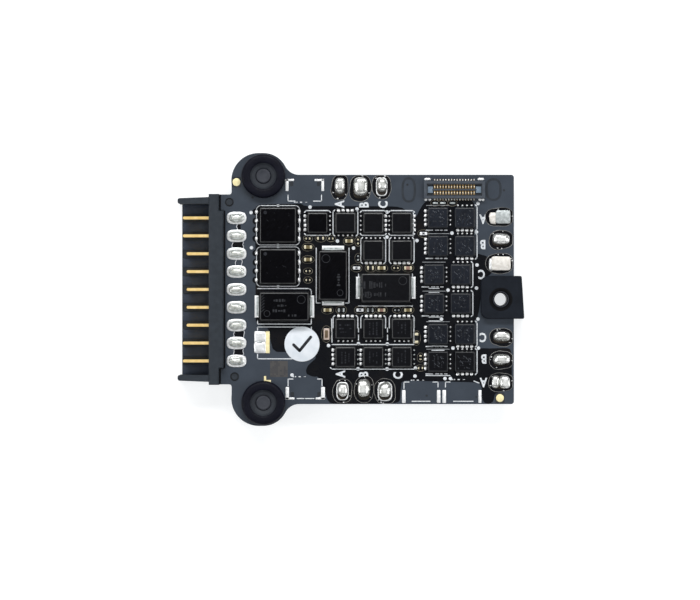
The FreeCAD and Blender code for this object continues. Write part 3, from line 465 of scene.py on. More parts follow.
    def letter(self, text, x, y, size, low, high, paint=0, degrees=0.0):
        """One character as a solid, centred on (x, y)."""
        curve = bpy.data.curves.new("letter", "FONT")
        curve.body, curve.size = text, size
        curve.align_x, curve.align_y = "CENTER", "CENTER"
        curve.extrude, curve.offset = (high - low) / 2, size * 0.035
        curve.resolution_u = 3
        holder = bpy.data.objects.new("letter", curve)
        solid = bpy.data.meshes.new_from_object(holder)
        turn = Matrix.Rotation(radians(degrees), 4, "Z")
        narrow = Matrix.Diagonal((0.78, 1, 1, 1))
        solid.transform(Matrix.Translation((x, y, (low + high) / 2)) @ turn @ narrow)
        for polygon in solid.polygons:
            polygon.material_index = paint
        self.mesh.from_mesh(solid)
        bpy.data.meshes.remove(solid)
        bpy.data.objects.remove(holder)
        bpy.data.curves.remove(curve)

    def finish(self, slot, *replaced, smooth=40.0):
        """Makes the object: rides on the board and stands for any CAD nodes given; slot is not used."""
        bmesh.ops.recalc_face_normals(self.mesh, faces=self.mesh.faces)
        data = bpy.data.meshes.new(self.name)
        self.mesh.to_mesh(data)
        self.mesh.free()
        for material in self.materials:
            data.materials.append(material)
        data.transform(Matrix.Scale(MM, 4))
        data.shade_smooth()
        data.set_sharp_from_angle(angle=radians(smooth))
        item = bpy.data.objects.new(self.name, data)
        show(item)
        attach(item, "root")
        if replaced:
            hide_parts(*replaced)


CREASE = 35  # degrees; sharper edges of the CAD pieces are rounded


def soften(item, width):
    """Rounds every sharp edge by a small bevel, width in millimetres."""
    bevel = item.modifiers.new("edge_rounding", "BEVEL")
    bevel.width = width * MM
    bevel.segments = 2
    bevel.limit_method = "ANGLE"
    bevel.angle_limit = radians(CREASE)
    bevel.harden_normals = True


def middle(node):
    """Centre and size of a CAD node in millimetres."""
    low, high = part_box(node)
    return (low + high) / 2 / MM, (high - low) / MM


def repaint(node, material, edge=0.0):
    """Gives a CAD node its finished material and, if asked, softened edges."""
    item = NODES[node]
    item.data.materials.clear()
    item.data.materials.append(material)
    if edge:
        item.data.shade_smooth()
        item.data.set_sharp_from_angle(angle=radians(CREASE))
        soften(item, edge)


# --- board surface

# The area under the glossy coating, as an outline whose corners are then rounded.
COATED = [
    (-13.5, 12.1), (-7.0, 12.2), (-6.4, 11.75), (6.6, 11.8), (7.7, 11.4), (8.3, 10.5), (9.0, 10.2),
    (9.6, 10.6), (10.0, 11.8), (11.0, 12.7), (17.6, 12.7), (17.5, 5.1), (18.5, 4.9), (19.7, 4.6),
    (20.3, 2.5), (19.3, 1.9), (18.7, 1.0), (18.2, -3.5), (17.6, -4.6), (17.6, -7.8), (18.6, -8.5),
    (22.85, -8.3), (22.85, -14.3), (20.4, -14.6), (20.2, -16.2), (18.75, -16.2), (18.6, -13.2), (7.5, -12.9),
    (7.1, -13.3), (7.0, -16.2), (-3.1, -16.2), (-3.6, -14.5), (-4.4, -12.3), (-5.4, -12.4), (-6.4, -11.9),
    (-6.2, -10.9), (-4.9, -9.9), (-5.0, -8.9), (-10.6, -8.9), (-11.2, -8.3), (-11.6, -5.2), (-13.5, -5.0),
]
# Painted shade beside the battery connector, dark strips where the housing meets the board: middle and size.
SHADE_STRIPS = [(-17.96, 0, 0.3, 22.4), (-18.58, 12.4, 0.26, 2.2), (-18.58, -12.4, 0.26, 2.2)]
# Bare mask windows between the footprints' pads.
SMALL_WINDOWS = [(-8.4, 15.0), (-4.55, 15.0), (-8.3, -14.9), (-4.5, -14.9)]
POWER_LEAD_OUT = 3.02  # the power transistors' leads lie this far left of their middles
# Fiducials: middle, and width of the dark window round the dot.
FIDUCIALS = [(-16.24, 15.26, 1.3), (21.22, -15.43, 1.3)]
CODE_CELLS, CELL_LENGTH, CELL_WIDTH = 9, 0.27, 0.25  # the printed square code


def board(rng):
    """Bare mask, the coated area with its raised border, and painted shade as dark strips along the battery
    connector.
    """
    repaint("circuit_board", MASK)
    piece = Piece("coating_patches", COATING, TRACE)
    edge = smoothed(COATED, 2, reach=0.5)
    edge = [(u + rng.uniform(-0.06, 0.06), v + rng.uniform(-0.06, 0.06)) for u, v in edge]
    edge = smoothed(edge, 2)
    piece.prism(edge, SUNK, TOP + COAT)
    piece.sweep(edge, SEAT, 0.08)
    for index in (1, 2):
        x, y = middle(f"power_switch_{index}")[0].xy
        for k in range(4):
            disc = uneven(oval(1.2, 1.02, 2.2, 24), 0.05, rng)
            piece.prism(disc, SUNK, TOP + COAT + 0.004, 0, 0, x - POWER_LEAD_OUT, y + (k - 1.5) * PINS)
    # Dark strips of the coating beside the battery connector: painted shade.
    for x, y, length, width in SHADE_STRIPS:
        piece.block(x, y, length, width, SUNK, FLUSH)
    for x, y in SMALL_WINDOWS:
        piece.block(x, y, 0.5, 0.65, SUNK, FLUSH, 1, 0, 0, 0.15)
    piece.finish("board_laminate")


def copper_marks(rng):
    """Gold fiducials and corner mark, outlines under the mask, the printed code, and vias."""
    piece = Piece("copper_marks", PALE_GOLD, TRACE, STAIN, STAIN_CELL, SHADOW)
    for x, y, window in FIDUCIALS:
        piece.block(x, y, window, window * 1.15, SUNK, FLUSH, 1, 0, 0, 0.15)
        piece.prism(oval(1.12, 1.12, 2, 28), SUNK, TOP + 0.04, 0, 0.015, x, y)
    piece.block(-12.17, -12.74, 0.3, 0.86, SUNK, TOP + 0.04, 0)
    piece.block(-11.68, -13.02, 0.7, 0.3, SUNK, TOP + 0.04, 0)
    for x, y, length, width in ((8.25, 14.15, 1.75, 3.3), (20.3, 14.2, 2.0, 2.9)):
        piece.ring(x, y, length, width, TOP - 0.24, 0.6, 4, 2.6, 48)
    piece.block(-10.2, -11.3, 2.5, 2.3, SUNK, TOP + 0.006, 2)
    for column in range(CODE_CELLS):
        for row in range(CODE_CELLS):
            if rng.random() < 0.5:
                x, y = -11.28 + column * CELL_LENGTH, -12.3 + row * CELL_WIDTH
                piece.block(x, y, CELL_LENGTH, CELL_WIDTH, SUNK, SEAT, 3)
    for x, y in ((-17.25, 12.4), (-16.5, -12.4)):
        piece.prism(oval(1.2, 1.2, 2, 28), TOP - 0.4, TOP - 0.22, 1, 0, x, y)
    for _ in range(24):
        x, y = rng.uniform(-14.4, 22.0), rng.choice((rng.uniform(12.9, 16.0), rng.uniform(-16.0, -12.9)))
        piece.prism(oval(0.34, 0.34, 2, 14), SUNK, SEAT, 1, 0, x, y)
    piece.finish("board_laminate")


def solder_traces(rng):
    """Thin pale runs of flux between some of the blade joints, most with a dark pool beside them."""
    piece = Piece("flux_traces", RIM_HIGHLIGHT, CHALK, COATING)
    x = middle("blade_solder_joints")[0].x
    for index, offsets, pooled in ((1, (0.1,), 0.5), (2, (-0.55, 0.95), 1.5), (3, (-0.1, 0.75), 0),
                                   (7, (-0.35, 1.05), 1.4), (8, (-0.35, 0.95), 1.3)):
        top = middle(f"battery_blade_{index}")[0].y - 0.8
        low = middle(f"battery_blade_{index + 1}")[0].y + 0.8
        if pooled:
            piece.block(x + offsets[0] + pooled / 2, (top + low) / 2, pooled, top - low, SUNK, FLUSH, 2)
        for offset in offsets:
            points = [(x + offset + rng.uniform(-0.15, 0.15), top + (low - top) * k / 4) for k in range(5)]
            piece.sweep(smoothed(points, 2, False), TOP, 0.1, 1, False)
    piece.finish("solder")


# --- transistors

# Where the four wide leads of each motor's six transistors face: Left, Right, Top or Bottom.
WIDE_SIDES = {1: "RRTLBB", 2: "TTTLLL", 3: "LBLBLB", 4: "LBLBLB"}
TURNS = {"L": 0, "B": 1, "R": 2, "T": 3}


def marks(piece, x, y, length, width, z, paint, rng, rows=3, turns=0, fill=0.45):
    """Rows of short unreadable marks, as a laser leaves; fill is how much of a row's height they take."""
    step = width / rows
    for row in range(rows):
        u = -length / 2 + rng.uniform(0, length * 0.15)
        while u < length / 2 - 0.2:
            bar = rng.uniform(0.12, 0.34)
            place = spot(x, y, u + bar / 2, (row - (rows - 1) / 2) * step, turns)
            if rng.random() < 0.8:
                tall = step * fill * rng.uniform(0.3, 1.0)
                piece.block(*place, bar, tall, z - 0.01, z + 0.012, paint, 0, turns)
            u += bar + rng.uniform(0.06, 0.16)


def scratches(piece, x, y, span, z, paint, rng, count):
    """A few short pale scuffs on a package top."""
    for _ in range(count):
        length, lean = rng.uniform(0.05, 0.4), rng.uniform(-1.2, -0.4)
        px, py = x + rng.uniform(-span, span - length), y + rng.uniform(length - span, span)
        piece.line(px, py, px + length * cos(lean), py + length * sin(lean), 0.045,
                   z - 0.01, z + 0.012, paint)


def package(piece, x, y, length, width, height, lip, turns=0, strip=0.11, foot=0.1):
    """A moulded body: upright sides, a steep bevel lip wide, then a shallow glossy edge in a lighter second
    material, a painted highlight.
    """
    levels = [(0.03, foot), (0.12, 0.0), (height * 0.45, 0.0), (height - 0.045, 2 * lip),
              (height, 2 * (lip + strip)), (height + 0.004, 2 * (lip + strip + 0.02))]
    rings = []
    for z, inset in levels:
        outline = placed(rounded(length - inset, width - inset, 0.1, 2), x, y, turns)
        rings.append([(px, py, TOP + z) for px, py in outline])
    piece.loft(rings[:4], 0)
    piece.loft(rings[3:5], 1)
    piece.loft(rings[4:], 0)


# How worn each motor's transistor tops look, and the few that differ from the rest.
MOULDS = {1: EPOXY, 2: EPOXY, 3: HAZY, 4: MURKY}
ODD_MOULDS = {(1, 4): JET, (4, 5): EPOXY, (4, 6): EPOXY}
# Rows of leads: how far out, along, across, height, material number.
WIDE_LEADS = (-1.77, 0.46, 0.5, 0.24, 2)
SMALL_LEADS = (1.77, 0.26, 0.26, 0.15, 2)
DULL_LEADS = (1.77, 0.26, 0.26, 0.15, 4)


def transistor(motor, index, side, rng):
    """A bridge transistor: wide leads on the named side, small ones opposite."""
    node = f"motor_{motor}_transistor_{index}"
    x, y = middle(node)[0].xy
    turns = TURNS[side]
    mould = ODD_MOULDS.get((motor, index), MOULDS[motor])
    # The edge strip's material is a painted highlight, dimmer on motors 3 and 4.
    piece = Piece(f"{node}_detail", mould, EDGE_HIGHLIGHT if motor < 3 else DIM_EDGE_HIGHLIGHT, TIN, LASER, DULL_TIN, SCUFF)
    package(piece, x, y, 3.04, 3.04, SMALL_HEIGHT, 0.14)
    top = TOP + SMALL_HEIGHT
    if motor > 1:
        marks(piece, x, y, 1.9, 1.5, top, 3, rng, 3, rng.choice((0, 1)))
    if motor > 2:
        scratches(piece, x, y, 1.1, top, 5, rng, 12)
    small = DULL_LEADS if motor == 2 and index > 3 else SMALL_LEADS
    for reach, along, across, rise, paint in (WIDE_LEADS, small):
        for k in range(4):
            place = spot(x, y, reach, (k - 1.5) * LEADS, turns)
            piece.blob(*place, along, across, SEAT, rise, paint, turns, 3.0, 12, 4, rng)
    piece.finish("chip_mould", node, smooth=25)


def power_switch(index, rng):
    """A power input transistor, with a dot at its first lead."""
    node = f"power_switch_{index}"
    x, y = middle(node)[0].xy
    piece = Piece(f"{node}_detail", JET, EDGE_HIGHLIGHT, TIN, LASER)
    package(piece, x, y, 5.3, 5.1, POWER_HEIGHT, 0.12)
    top = TOP + POWER_HEIGHT
    scratches(piece, x, y, 1.8, top, 3, rng, 7)
    piece.prism(oval(0.5, 0.5, 2, 20), top - 0.02, top + 0.006, 3, 0, x - 1.8, y + 1.8)
    for k in range(4):
        row = y + (k - 1.5) * PINS
        piece.blob(x - 3.05, row, 0.5, 0.62, SEAT, 0.3, 2, 0, 2.6, 14, 5, rng)
        piece.blob(x + 3.0, row, 0.46, 0.78, SEAT, 0.3, 2, 0, 2.6, 14, 5, rng)
        for side in (-1, 1):
            piece.block(x + side * 2.8, row, 0.4, 0.4, SEAT, TOP + 0.2, 0, 0.03)
    piece.finish("chip_mould", node, smooth=25)


# --- bulk capacitors

# One end's terminal and solder: outward, across, length, width, bottom and top over the board, material.
TERMINAL = [
    (3.66, 0.0, 0.1, 2.5, 0.05, 1.1, 4), (4.08, 0.0, 0.3, 3.14, 0.0, 0.2, 2),
    (3.82, 1.45, 0.3, 0.24, 0.0, 0.2, 2), (3.82, -1.45, 0.3, 0.24, 0.0, 0.2, 2),
    (3.83, 0.0, 0.26, 2.7, 0.0, 0.14, 4),
]
# Unreadable marking on the bulk capacitors: middle, size, rows, quarter turns, how full the rows are.
ETCHED = {
    1: [(-10.2, -2.3, 2.3, 2.2, 3, 0, 0.6), (-8.0, -3.7, 2.0, 0.4, 1, 0, 0.8)],
    2: [(-1.72, 1.4, 2.1, 0.55, 1, 1, 1.0)],
    3: [(3.1, 0.62, 4.6, 1.25, 1, 0, 0.9), (3.1, -0.72, 4.2, 0.95, 1, 0, 0.9)],
}


def bulk_capacitor(index, rng):
    """A moulded capacitor: two pressed rings, unreadable marking, and a folded terminal at each end."""
    node = f"bulk_capacitor_{index}"
    centre, size = middle(node)
    x, y = centre.xy
    turns = 0 if size.x > size.y else 1
    piece = Piece(f"{node}_detail", EPOXY if index == 3 else JET, EDGE_HIGHLIGHT, TIN, LASER, DULL_TIN, ETCH)
    package(piece, x, y, 7.25, 4.3, BULK_HEIGHT, 0.2, turns, 0.12, 0.2)
    top = TOP + BULK_HEIGHT
    for u, v, radius in ((2.4, 1.0, 0.57), (-2.45, -1.0, 0.42)):
        piece.ring(*spot(x, y, u, v, turns), 2 * radius, 2 * radius, top - 0.02, 0.13, 5, 2.0, 28)
    for px, py, length, width, rows, quarter, fill in ETCHED[index]:
        marks(piece, px, py, length, width, top, 5, rng, rows, quarter, fill)
    if index == 1:
        for k in range(6):
            row = y + 1.5 - 0.42 * k
            piece.line(x - 3.25, row - 0.15, x - 2.85, row + 0.22, 0.11, top - 0.01, top + 0.012, 5)
    for side in (-1, 1):
        for u, v, length, width, low, high, paint in TERMINAL:
            place = spot(x, y, side * u, v, turns)
            piece.block(*place, length, width, TOP + low, TOP + high, paint, 0.05, turns)
    piece.finish("capacitor_mould", node, smooth=25)


# --- solder


def blade_joints(rng):
    """Nine joints: a bright collar and a low grey dome, with the blade's tail as a ridge in it."""
    piece = Piece("blade_solder_joints_detail", JOINT, COLLAR, DULL_TIN)
    x = middle("blade_solder_joints")[0].x
    for index in BLADES:
        y = middle(f"battery_blade_{index}")[0].y
        piece.prism(oval(2.8, 1.78, 2.9, 36), SUNK, TOP + 0.12, 1, 0.08, x, y)
        piece.blob(x, y, 2.2, 1.25, TOP + 0.08, 0.3, 0, 0, 2.6, 32, 8, rng)
        piece.block(x, y, 1.32, 0.5, TOP + 0.1, TOP + 0.53, 0, 0.08, 0, 0.2)
        piece.ring(x, y, 1.62, 0.82, TOP + 0.33, 0.13, 2, 2.4, 28, rng, 0.07)
    piece.finish("solder", "blade_solder_joints")


# Solder mounds of each motor: middle, size and look. A ringed one shows its bright foot, a bare one a dark
# foot, a dull or a pale one is a flat slab, and a split one has two lobes.
MOUNDS = {
    1: [(-1.55, 14.5, 1.5, 2.7, "bare"), (1.38, 14.4, 2.1, 3.0, "bare"), (4.4, 14.6, 1.65, 2.7, "ringed")],
    2: [(-1.17, -14.45, 1.75, 2.6, "ringed"), (1.9, -14.2, 1.75, 3.0, "bare"),
        (4.87, -14.5, 2.1, 2.75, "ringed")],
    3: [(21.64, 10.3, 2.1, 1.9, "dull"), (21.35, 7.05, 2.5, 1.85, "bare"), (21.35, 3.7, 2.75, 2.0, "pale")],
    4: [(21.45, -6.8, 2.45, 1.7, "bare"), (21.4, -10.05, 2.45, 1.75, "bare"),
        (21.35, -13.2, 2.6, 1.85, "split")],
}


# How far the bright lip of pad stands out beside a flat slab of solder.
LIPS = {"dull": 0.9, "pale": 0.35}


def wire_pads(motor, rng):
    """Solder in a dark pool of flux that ends in an uneven bright line, a painted highlight on its raised
    edge, with stray balls round it.
    """
    node = f"motor_{motor}_wire_pads"
    piece = Piece(f"{node}_detail", MOUND, COLLAR, RIM_HIGHLIGHT, COATING, FLUX_AND_SHADE, DULL_TIN, PASTE, CREAM)
    for x, y, length, width, look in MOUNDS[motor]:
        lip = LIPS.get(look, 0.0)
        pool = uneven(oval(length + lip + 0.95, width + 0.8, 2.5, 48), 0.15, rng)
        pool = kept_on_board(placed(pool, x - lip / 2, y))
        piece.prism([(u - x, v - y) for u, v in pool], SUNK, TOP + 0.05, 3, 0, x, y)
        # Pale bead round the pool's edge: painted highlight.
        piece.sweep(pool, TOP + 0.03, 0.06, 2)
        if look in ("dull", "pale"):
            slab(piece, x, y, length, width, lip, 5 if look == "dull" else 6, rng)
        else:
            mound(piece, x, y, length, width, look, rng)
        for _ in range(4):
            angle = rng.uniform(0, 2 * pi)
            spot = (x + (length / 2 + 0.3) * cos(angle), y + (width / 2 + 0.3) * sin(angle))
            piece.blob(*kept_on_board([spot])[0], rng.uniform(0.12, 0.28), rng.uniform(0.1, 0.22),
                       TOP + 0.02, 0.1, 1, 0, 2.0, 10, 4, rng)
    piece.finish("solder", node)


def mound(piece, x, y, length, width, look, rng):
    """A foot on the pad, a dark crescent of painted shade below the dome, and the plump dome set back from
    its lower side.
    """
    foot = 1 if look == "ringed" else 4
    piece.prism(oval(length, width, 3.4, 36), SUNK, TOP + 0.14, foot, 0.1, x, y)
    # The dark slab under the dome shows only as a crescent below it: painted shade, in the flux colour.
    shade_crescent = uneven(oval(length * 0.86, width * 0.88, 2.8, 36), 0.05, rng)
    piece.prism(shade_crescent, TOP + 0.1, TOP + 0.17, 4, 0.03, x, y)
    base, rise = TOP + 0.15, 0.62
    if look == "split":
        for shift, share in ((-0.29, 0.42), (0.19, 0.6)):
            lobe = (x + shift * length, y + 0.06, length * share, width * 0.98)
            piece.blob(*lobe, base, 0.5, 0, 0, 3.0, 36, 11, rng, 0.5)
    elif look == "ringed":
        dome = (x, y + width * 0.1, length * 0.86, width * 0.76)
        piece.blob(*dome, base, rise, 0, 0, 2.5, 36, 13, rng, 0.7)
    else:
        dome = (x, y + width * 0.08, length * 0.98, width * 0.84)
        piece.blob(*dome, base, rise, 0, 0, 3.0, 36, 13, rng, 0.7)


def slab(piece, x, y, length, width, lip, paint, rng):
    """Solder that was wicked flat, with a brighter lip of pad left at its inner end."""
    outline = uneven(oval(length, width, 7.0, 40), 0.04, rng)
    piece.prism(outline, TOP, TOP + 0.34, paint, 0.12, x, y)
    piece.blob(x - (length + lip) / 2 + 0.15, y - 0.15, lip + 0.3, width * 0.9, SEAT, 0.26,
               6 if paint == 5 else 1, 0, 3.0, 20, 6, rng)


def spare_pad(rng):
    """Tinned pad with two lobes that meet in a dull seam, and the bare gold strip beside it."""
    centre, size = middle("spare_capacitor_pad")
    piece = Piece("spare_capacitor_pad_detail", COLLAR, PALE_GOLD, DULL_TIN)
    for side in (-1, 1):
        piece.blob(centre.x, centre.y + side * size.y / 4, size.x * 1.04, size.y / 2 + 0.06, SEAT, 0.16, 0, 0,
                   9.0, 28, 6, rng)
    piece.blob(centre.x - 0.1, centre.y, 0.8, 0.25, TOP + 0.1, 0.09, 2, 0, 2.0, 16, 4, rng)
    piece.block(centre.x + size.x / 2 + 0.25, centre.y, 0.56, size.y, SUNK, TOP + 0.06, 1, 0.02)
    piece.finish("solder", "spare_capacitor_pad")


# --- chip parts

# Chip capacitors: x, y, length, width, quarter turns, material number.
CAPACITORS = [
    (-6.07, 6.02, 1.05, 0.5, 0, 0), (-6.07, 4.25, 1.05, 0.5, 0, 0), (-0.24, 6.88, 1.0, 0.5, 0, 0),
    (4.38, 3.04, 1.05, 0.52, 0, 0), (8.14, 3.04, 1.0, 0.5, 0, 1), (-3.3, -2.93, 1.05, 0.5, 0, 0),
    (4.38, -2.93, 1.0, 0.5, 0, 1), (8.14, -2.93, 1.0, 0.5, 0, 0), (-3.44, -6.34, 1.65, 0.82, 1, 2),
    (9.35, -6.91, 1.4, 0.5, 1, 5),
]
# Chip resistors: x, y, length, width, quarter turns, finish number.
RESISTORS = [
    (-6.07, 7.23, 0.6, 0.28, 0, 0), (-4.29, 7.26, 0.9, 0.42, 0, 0), (-2.8, 7.23, 0.6, 0.28, 0, 0),
    (-6.07, 2.61, 0.6, 0.28, 0, 0), (-6.07, 1.34, 0.6, 0.28, 0, 0), (1.04, 6.81, 0.65, 0.26, 1, 0),
    (1.04, 4.46, 0.65, 0.26, 1, 2), (0.82, 3.04, 0.95, 0.44, 0, 1), (2.8, 3.04, 0.85, 0.56, 0, 0),
    (6.44, 3.04, 0.65, 0.26, 0, 0), (-1.34, -2.93, 0.85, 0.56, 0, 2), (1.32, -2.93, 0.95, 0.46, 0, 1),
    (2.78, -2.93, 0.85, 0.56, 0, 2), (6.58, -2.93, 0.65, 0.26, 0, 2), (9.92, -9.68, 0.6, 0.3, 1, 0),
    (9.92, -11.17, 0.65, 0.3, 0, 0), (10.34, 7.94, 0.95, 0.46, 0, 1), (12.03, 12.28, 0.66, 0.26, 0, 3),
    (13.07, 12.28, 0.72, 0.28, 0, 3), (14.46, 12.28, 0.66, 0.26, 0, 3),
]

# Body and end materials of each resistor finish.
FINISHES = [(0, 2), (1, 4), (0, 5), (5, 5)]


def chip(piece, place, height, base, body, ends, flip=1):
    """A body between two plated ends; place is x, y, length, width, turns; flip -1 hangs it below base."""
    x, y, length, width, turns = place
    low, high = sorted((base, base + flip * height))
    piece.block(x, y, length * 0.56, width * 0.96, low + 0.02, high, body, 0.03, turns)
    for side in (-1, 1):
        end = spot(x, y, side * length * 0.38, 0, turns)
        piece.block(*end, length * 0.24, width, low + 0.01, high + 0.01, ends, 0.04, turns)
    if flip > 0:
        for side in (-1, 1):
            end = spot(x, y, side * length * 0.5, 0, turns)
            piece.blob(*end, 0.14, width * 0.9, base, height * 0.4, ends, turns, 4.0, 12, 4)


def halo(piece, place, paint, rng):
    """The oval line that the coating draws up round a chip part, in a pale material: a painted highlight on
    that ridge.
    """
    x, y, length, width, turns = place
    along, across = spot(0, 0, length + 0.68, width + 0.62, turns)
    piece.ring(x, y, abs(along), abs(across), TOP + COAT, 0.075, paint, 2.1, 32, rng, 0.04)


def chip_parts(rng):
    """Chip capacitors on both sides of the board, and chip resistors on top."""
    ceramics = Piece("ceramic_capacitors_detail", OLIVE, PINK, BROWN, CREAM, HALO_HIGHLIGHT, GLAZE, BLUSH)
    for *place, paint in CAPACITORS:
        x, y, length, width, turns = place
        if paint == 2:
            ceramics.block(x, y, length, width, TOP + 0.02, TOP + 0.5, 6, 0.08, turns, 0.1)
            ceramics.block(x, y, length * 0.66, width * 0.56, TOP + 0.4, TOP + 0.53, 2, 0.03, turns, 0.1)
        else:
            chip(ceramics, place, 0.5, TOP, paint, 3)
        halo(ceramics, place, 4, rng)
    for place in underside_places():
        chip(ceramics, place, 0.5, LOW, 0, 3, -1)
    ceramics.finish("ceramic", "ceramic_capacitors")
    resistors = Piece("chip_resistors_detail", GLAZE, CHALK, CREAM, HALO_HIGHLIGHT, TIN, DULL_TIN)
    for *place, finish in RESISTORS:
        x, y, length, width, turns = place
        chip(resistors, place, 0.32, TOP, *FINISHES[finish])
        halo(resistors, place, 3, rng)
        if finish == 1:
            resistors.block(x, y, length * 0.3, width * 0.5, TOP + 0.3, TOP + 0.326, 0, 0, turns)
    resistors.finish("resistor_body", "chip_resistors")


# Middles of the four controllers on the underside, as the CAD has them.
CONTROLLERS = [(-4.2, 8.6), (9.2, 8.6), (-4.2, -8.6), (9.2, -8.6)]


def underside_places():
    """Chip capacitors round each controller on the underside, as the CAD has them."""
    offsets = [(-3.4, v, 1) for v in (-1.5, 0.6)] + [(u, v, 0) for v in (3.2, -3.2) for u in (-1.6, 0.2)]
    return [(x + dx, y + dy, 1.0, 0.5, turns) for x, y in CONTROLLERS for dx, dy, turns in offsets]


# --- printing

PRINT = 0.13  # width of a printed line
# Free-standing printed lines: level ones as y and both ends, upright ones as x and both ends, and bent ones.
LEVEL = [
    (-2.36, 1.11, 8.78), (0.16, 11.13, 12.55), (-0.45, 11.13, 12.55), (-3.92, 11.13, 12.69),
    (-4.49, 11.13, 12.69), (-8.04, 11.55, 13.26), (-8.65, 11.55, 13.26), (-12.23, 10.7, 14.11),
    (-12.73, -8.84, -8.2), (-15.5, -7.63, -6.64), (-15.5, -6.42, -5.22), (-15.9, 8.71, 11.27),
    (-15.9, 14.6, 17.4), (-7.83, -2.66, 9.0),
]
UPRIGHT = [
    (1.11, 2.2, 1.75), (8.78, 2.2, 1.75), (-5.6, -5.34, -5.9), (1.11, -5.49, -6.05), (1.11, -6.48, -7.19),
    (5.23, -5.49, -6.05), (5.23, -6.48, -7.19), (8.9, 10.9, 7.6), (-8.9, -12.73, -13.7),
]
BENT = [
    [(-13.24, 0.13), (-5.9, 0.13), (-5.6, -0.15), (-5.6, -0.7)],
    [(-4.9, 5.88), (-4.9, -1.93), (-4.3, -1.93)],
    [(-13.24, -4.5), (-13.24, -4.92), (-5.6, -4.92), (-5.6, -4.2)],
    [(-0.24, 5.88), (-0.24, -1.93), (-0.75, -1.93)], [(-13.24, -5.8), (-13.24, -5.34), (-7.4, -5.34)],
    [(-13.24, -9.2), (-13.24, -9.86), (-8.3, -9.86)], [(-8.91, 13.41), (-8.91, 12.56), (-7.91, 12.56)],
    [(-5.29, 12.56), (-4.15, 12.56), (-4.15, 13.41)], [(-4.72, -12.73), (-4.08, -12.73), (-4.08, -13.73)],
    [(7.57, -14.1), (7.57, -13.16), (8.28, -13.16)], [(11.69, -13.16), (12.41, -13.16), (12.41, -13.87)],
    [(13.47, -13.87), (13.47, -13.16), (14.11, -13.16)], [(17.52, -13.02), (18.23, -13.3)],
    [(-2.72, -4.2), (-2.66, -7.5)], [(8.95, -4.2), (9.0, -7.6)],
    [(-2.9, -11.1), (-2.66, -11.33), (9.28, -11.33)],
]
DOTS = [
    (-14.17, 10.93), (-14.1, 5.93), (-5.78, 11.71), (-1.88, 6.88), (0.4, 5.88), (9.42, 6.95),
    (-8.34, -12.16), (9.14, -12.31), (13.4, -12.66), (14.18, -12.66), (0.9, 11.42), (5.16, 11.0),
    (5.16, 7.45), (-3.15, -7.97), (1.11, -7.69), (5.2, -7.76), (1.04, -11.28), (5.16, -11.31),
    (9.21, -11.17), (18.09, 12.21), (17.88, 8.16), (14.39, 8.01), (17.95, 3.47), (17.88, 0.2),
    (13.83, -0.09), (18.09, -4.21), (12.9, -4.21), (14.54, -8.33), (18.16, -8.33),
]
# Phase letters beside the wire pads: the letters, their places, how they are turned, and their size.
LETTERS = [
    ("ABC", [(-1.52, 12.14), (1.96, 12.0), (4.66, 12.06)], 90, 1.8),
    ("ABC", [(-1.38, -12.02), (1.89, -12.09), (6.79, -12.23)], 90, 1.8),
    ("ABC", [(18.8, 10.07), (18.8, 6.45), (18.6, 2.2)], 180, 1.78),
    ("CBA", [(18.8, -6.76), (18.94, -9.82), (18.87, -13.16)], 180, 1.78),
]


def printing():
    """All the white printing on the component side."""
    piece = Piece("board_printing", INK_WHITE, WORN_INK)
    low, high = TOP + 0.005, TOP + INK
    paths = [[(start, y), (end, y)] for y, start, end in LEVEL]
    paths += [[(x, start), (x, end)] for x, start, end in UPRIGHT]
    for path in paths + BENT:
        piece.trail(path, PRINT, low, high)
    for x, y in DOTS:
        piece.prism(oval(0.5, 0.5, 2, 16), low, high, 0, 0, x, y)
    for x, y in ((-7.0, 12.4), (-7.2, -12.4), (9.6, -12.9), (15.4, -12.8)):
        marks(piece, x, y, 2.3, 0.4, TOP + INK - 0.004, 0, random.Random(3), 1)
    for letters, places, degrees, size in LETTERS:
        for text, (x, y) in zip(letters, places):
            piece.letter(text, x, y, size, low, high, 0, degrees)
    for motor, sides in WIDE_SIDES.items():
        for index, side in enumerate(sides, 1):
            frame_lines(piece, motor, index, TURNS[side], low, high)
    for index in (1, 2):
        switch_frame(piece, index, low, high)
    piece.finish("board_laminate")


def frame_lines(piece, motor, index, turns, low, high):
    """Printed lines along the two sides of a transistor that have no leads, hooked in at their ends."""
    x, y = middle(f"motor_{motor}_transistor_{index}")[0].xy
    reach, gap, width = 1.62, 1.76, 0.15
    if motor == 2:
        spans = [(-reach, -0.1, 1), (-reach, -0.1, -1)] if index <= 3 else []
    elif motor >= 3 and index % 2:
        spans = []
        piece.line(x - reach, y + gap, x + reach, y + gap, 0.09, low, high, 1)
        for start, end in ((-1.7, -0.75), (-0.35, 0.12), (0.38, 0.6), (0.93, 1.3)):
            piece.line(x + start, y - gap, x + end, y - gap, width, low, high)
    elif motor >= 3:
        spans = [(-reach, reach, -1)]
    else:
        spans = [(-reach, reach, 1), (-reach, reach, -1)]
    for start, end, side in spans:
        path = [(start - 0.22, side * (gap - 0.24)), (start, side * gap), (end, side * gap)]
        if end > 1:
            path.append((end + 0.22, side * (gap - 0.24)))
        piece.trail(placed(path, x, y, turns), width, low, high)


def switch_frame(piece, index, low, high):
    """Rounded printed frame round a power transistor, swollen at the middle of its top and bottom."""
    x, y = middle(f"power_switch_{index}")[0].xy
    length, width = 6.13, 5.6
    corners = placed(rounded(length, width, 0.6, 4), x, y)
    piece.trail(corners + corners[:1], 0.1, low, high)
    for side in (-1, 1):
        piece.prism(oval(0.44, 0.34, 2, 16), low, high, 0, 0, x, y + side * width / 2)


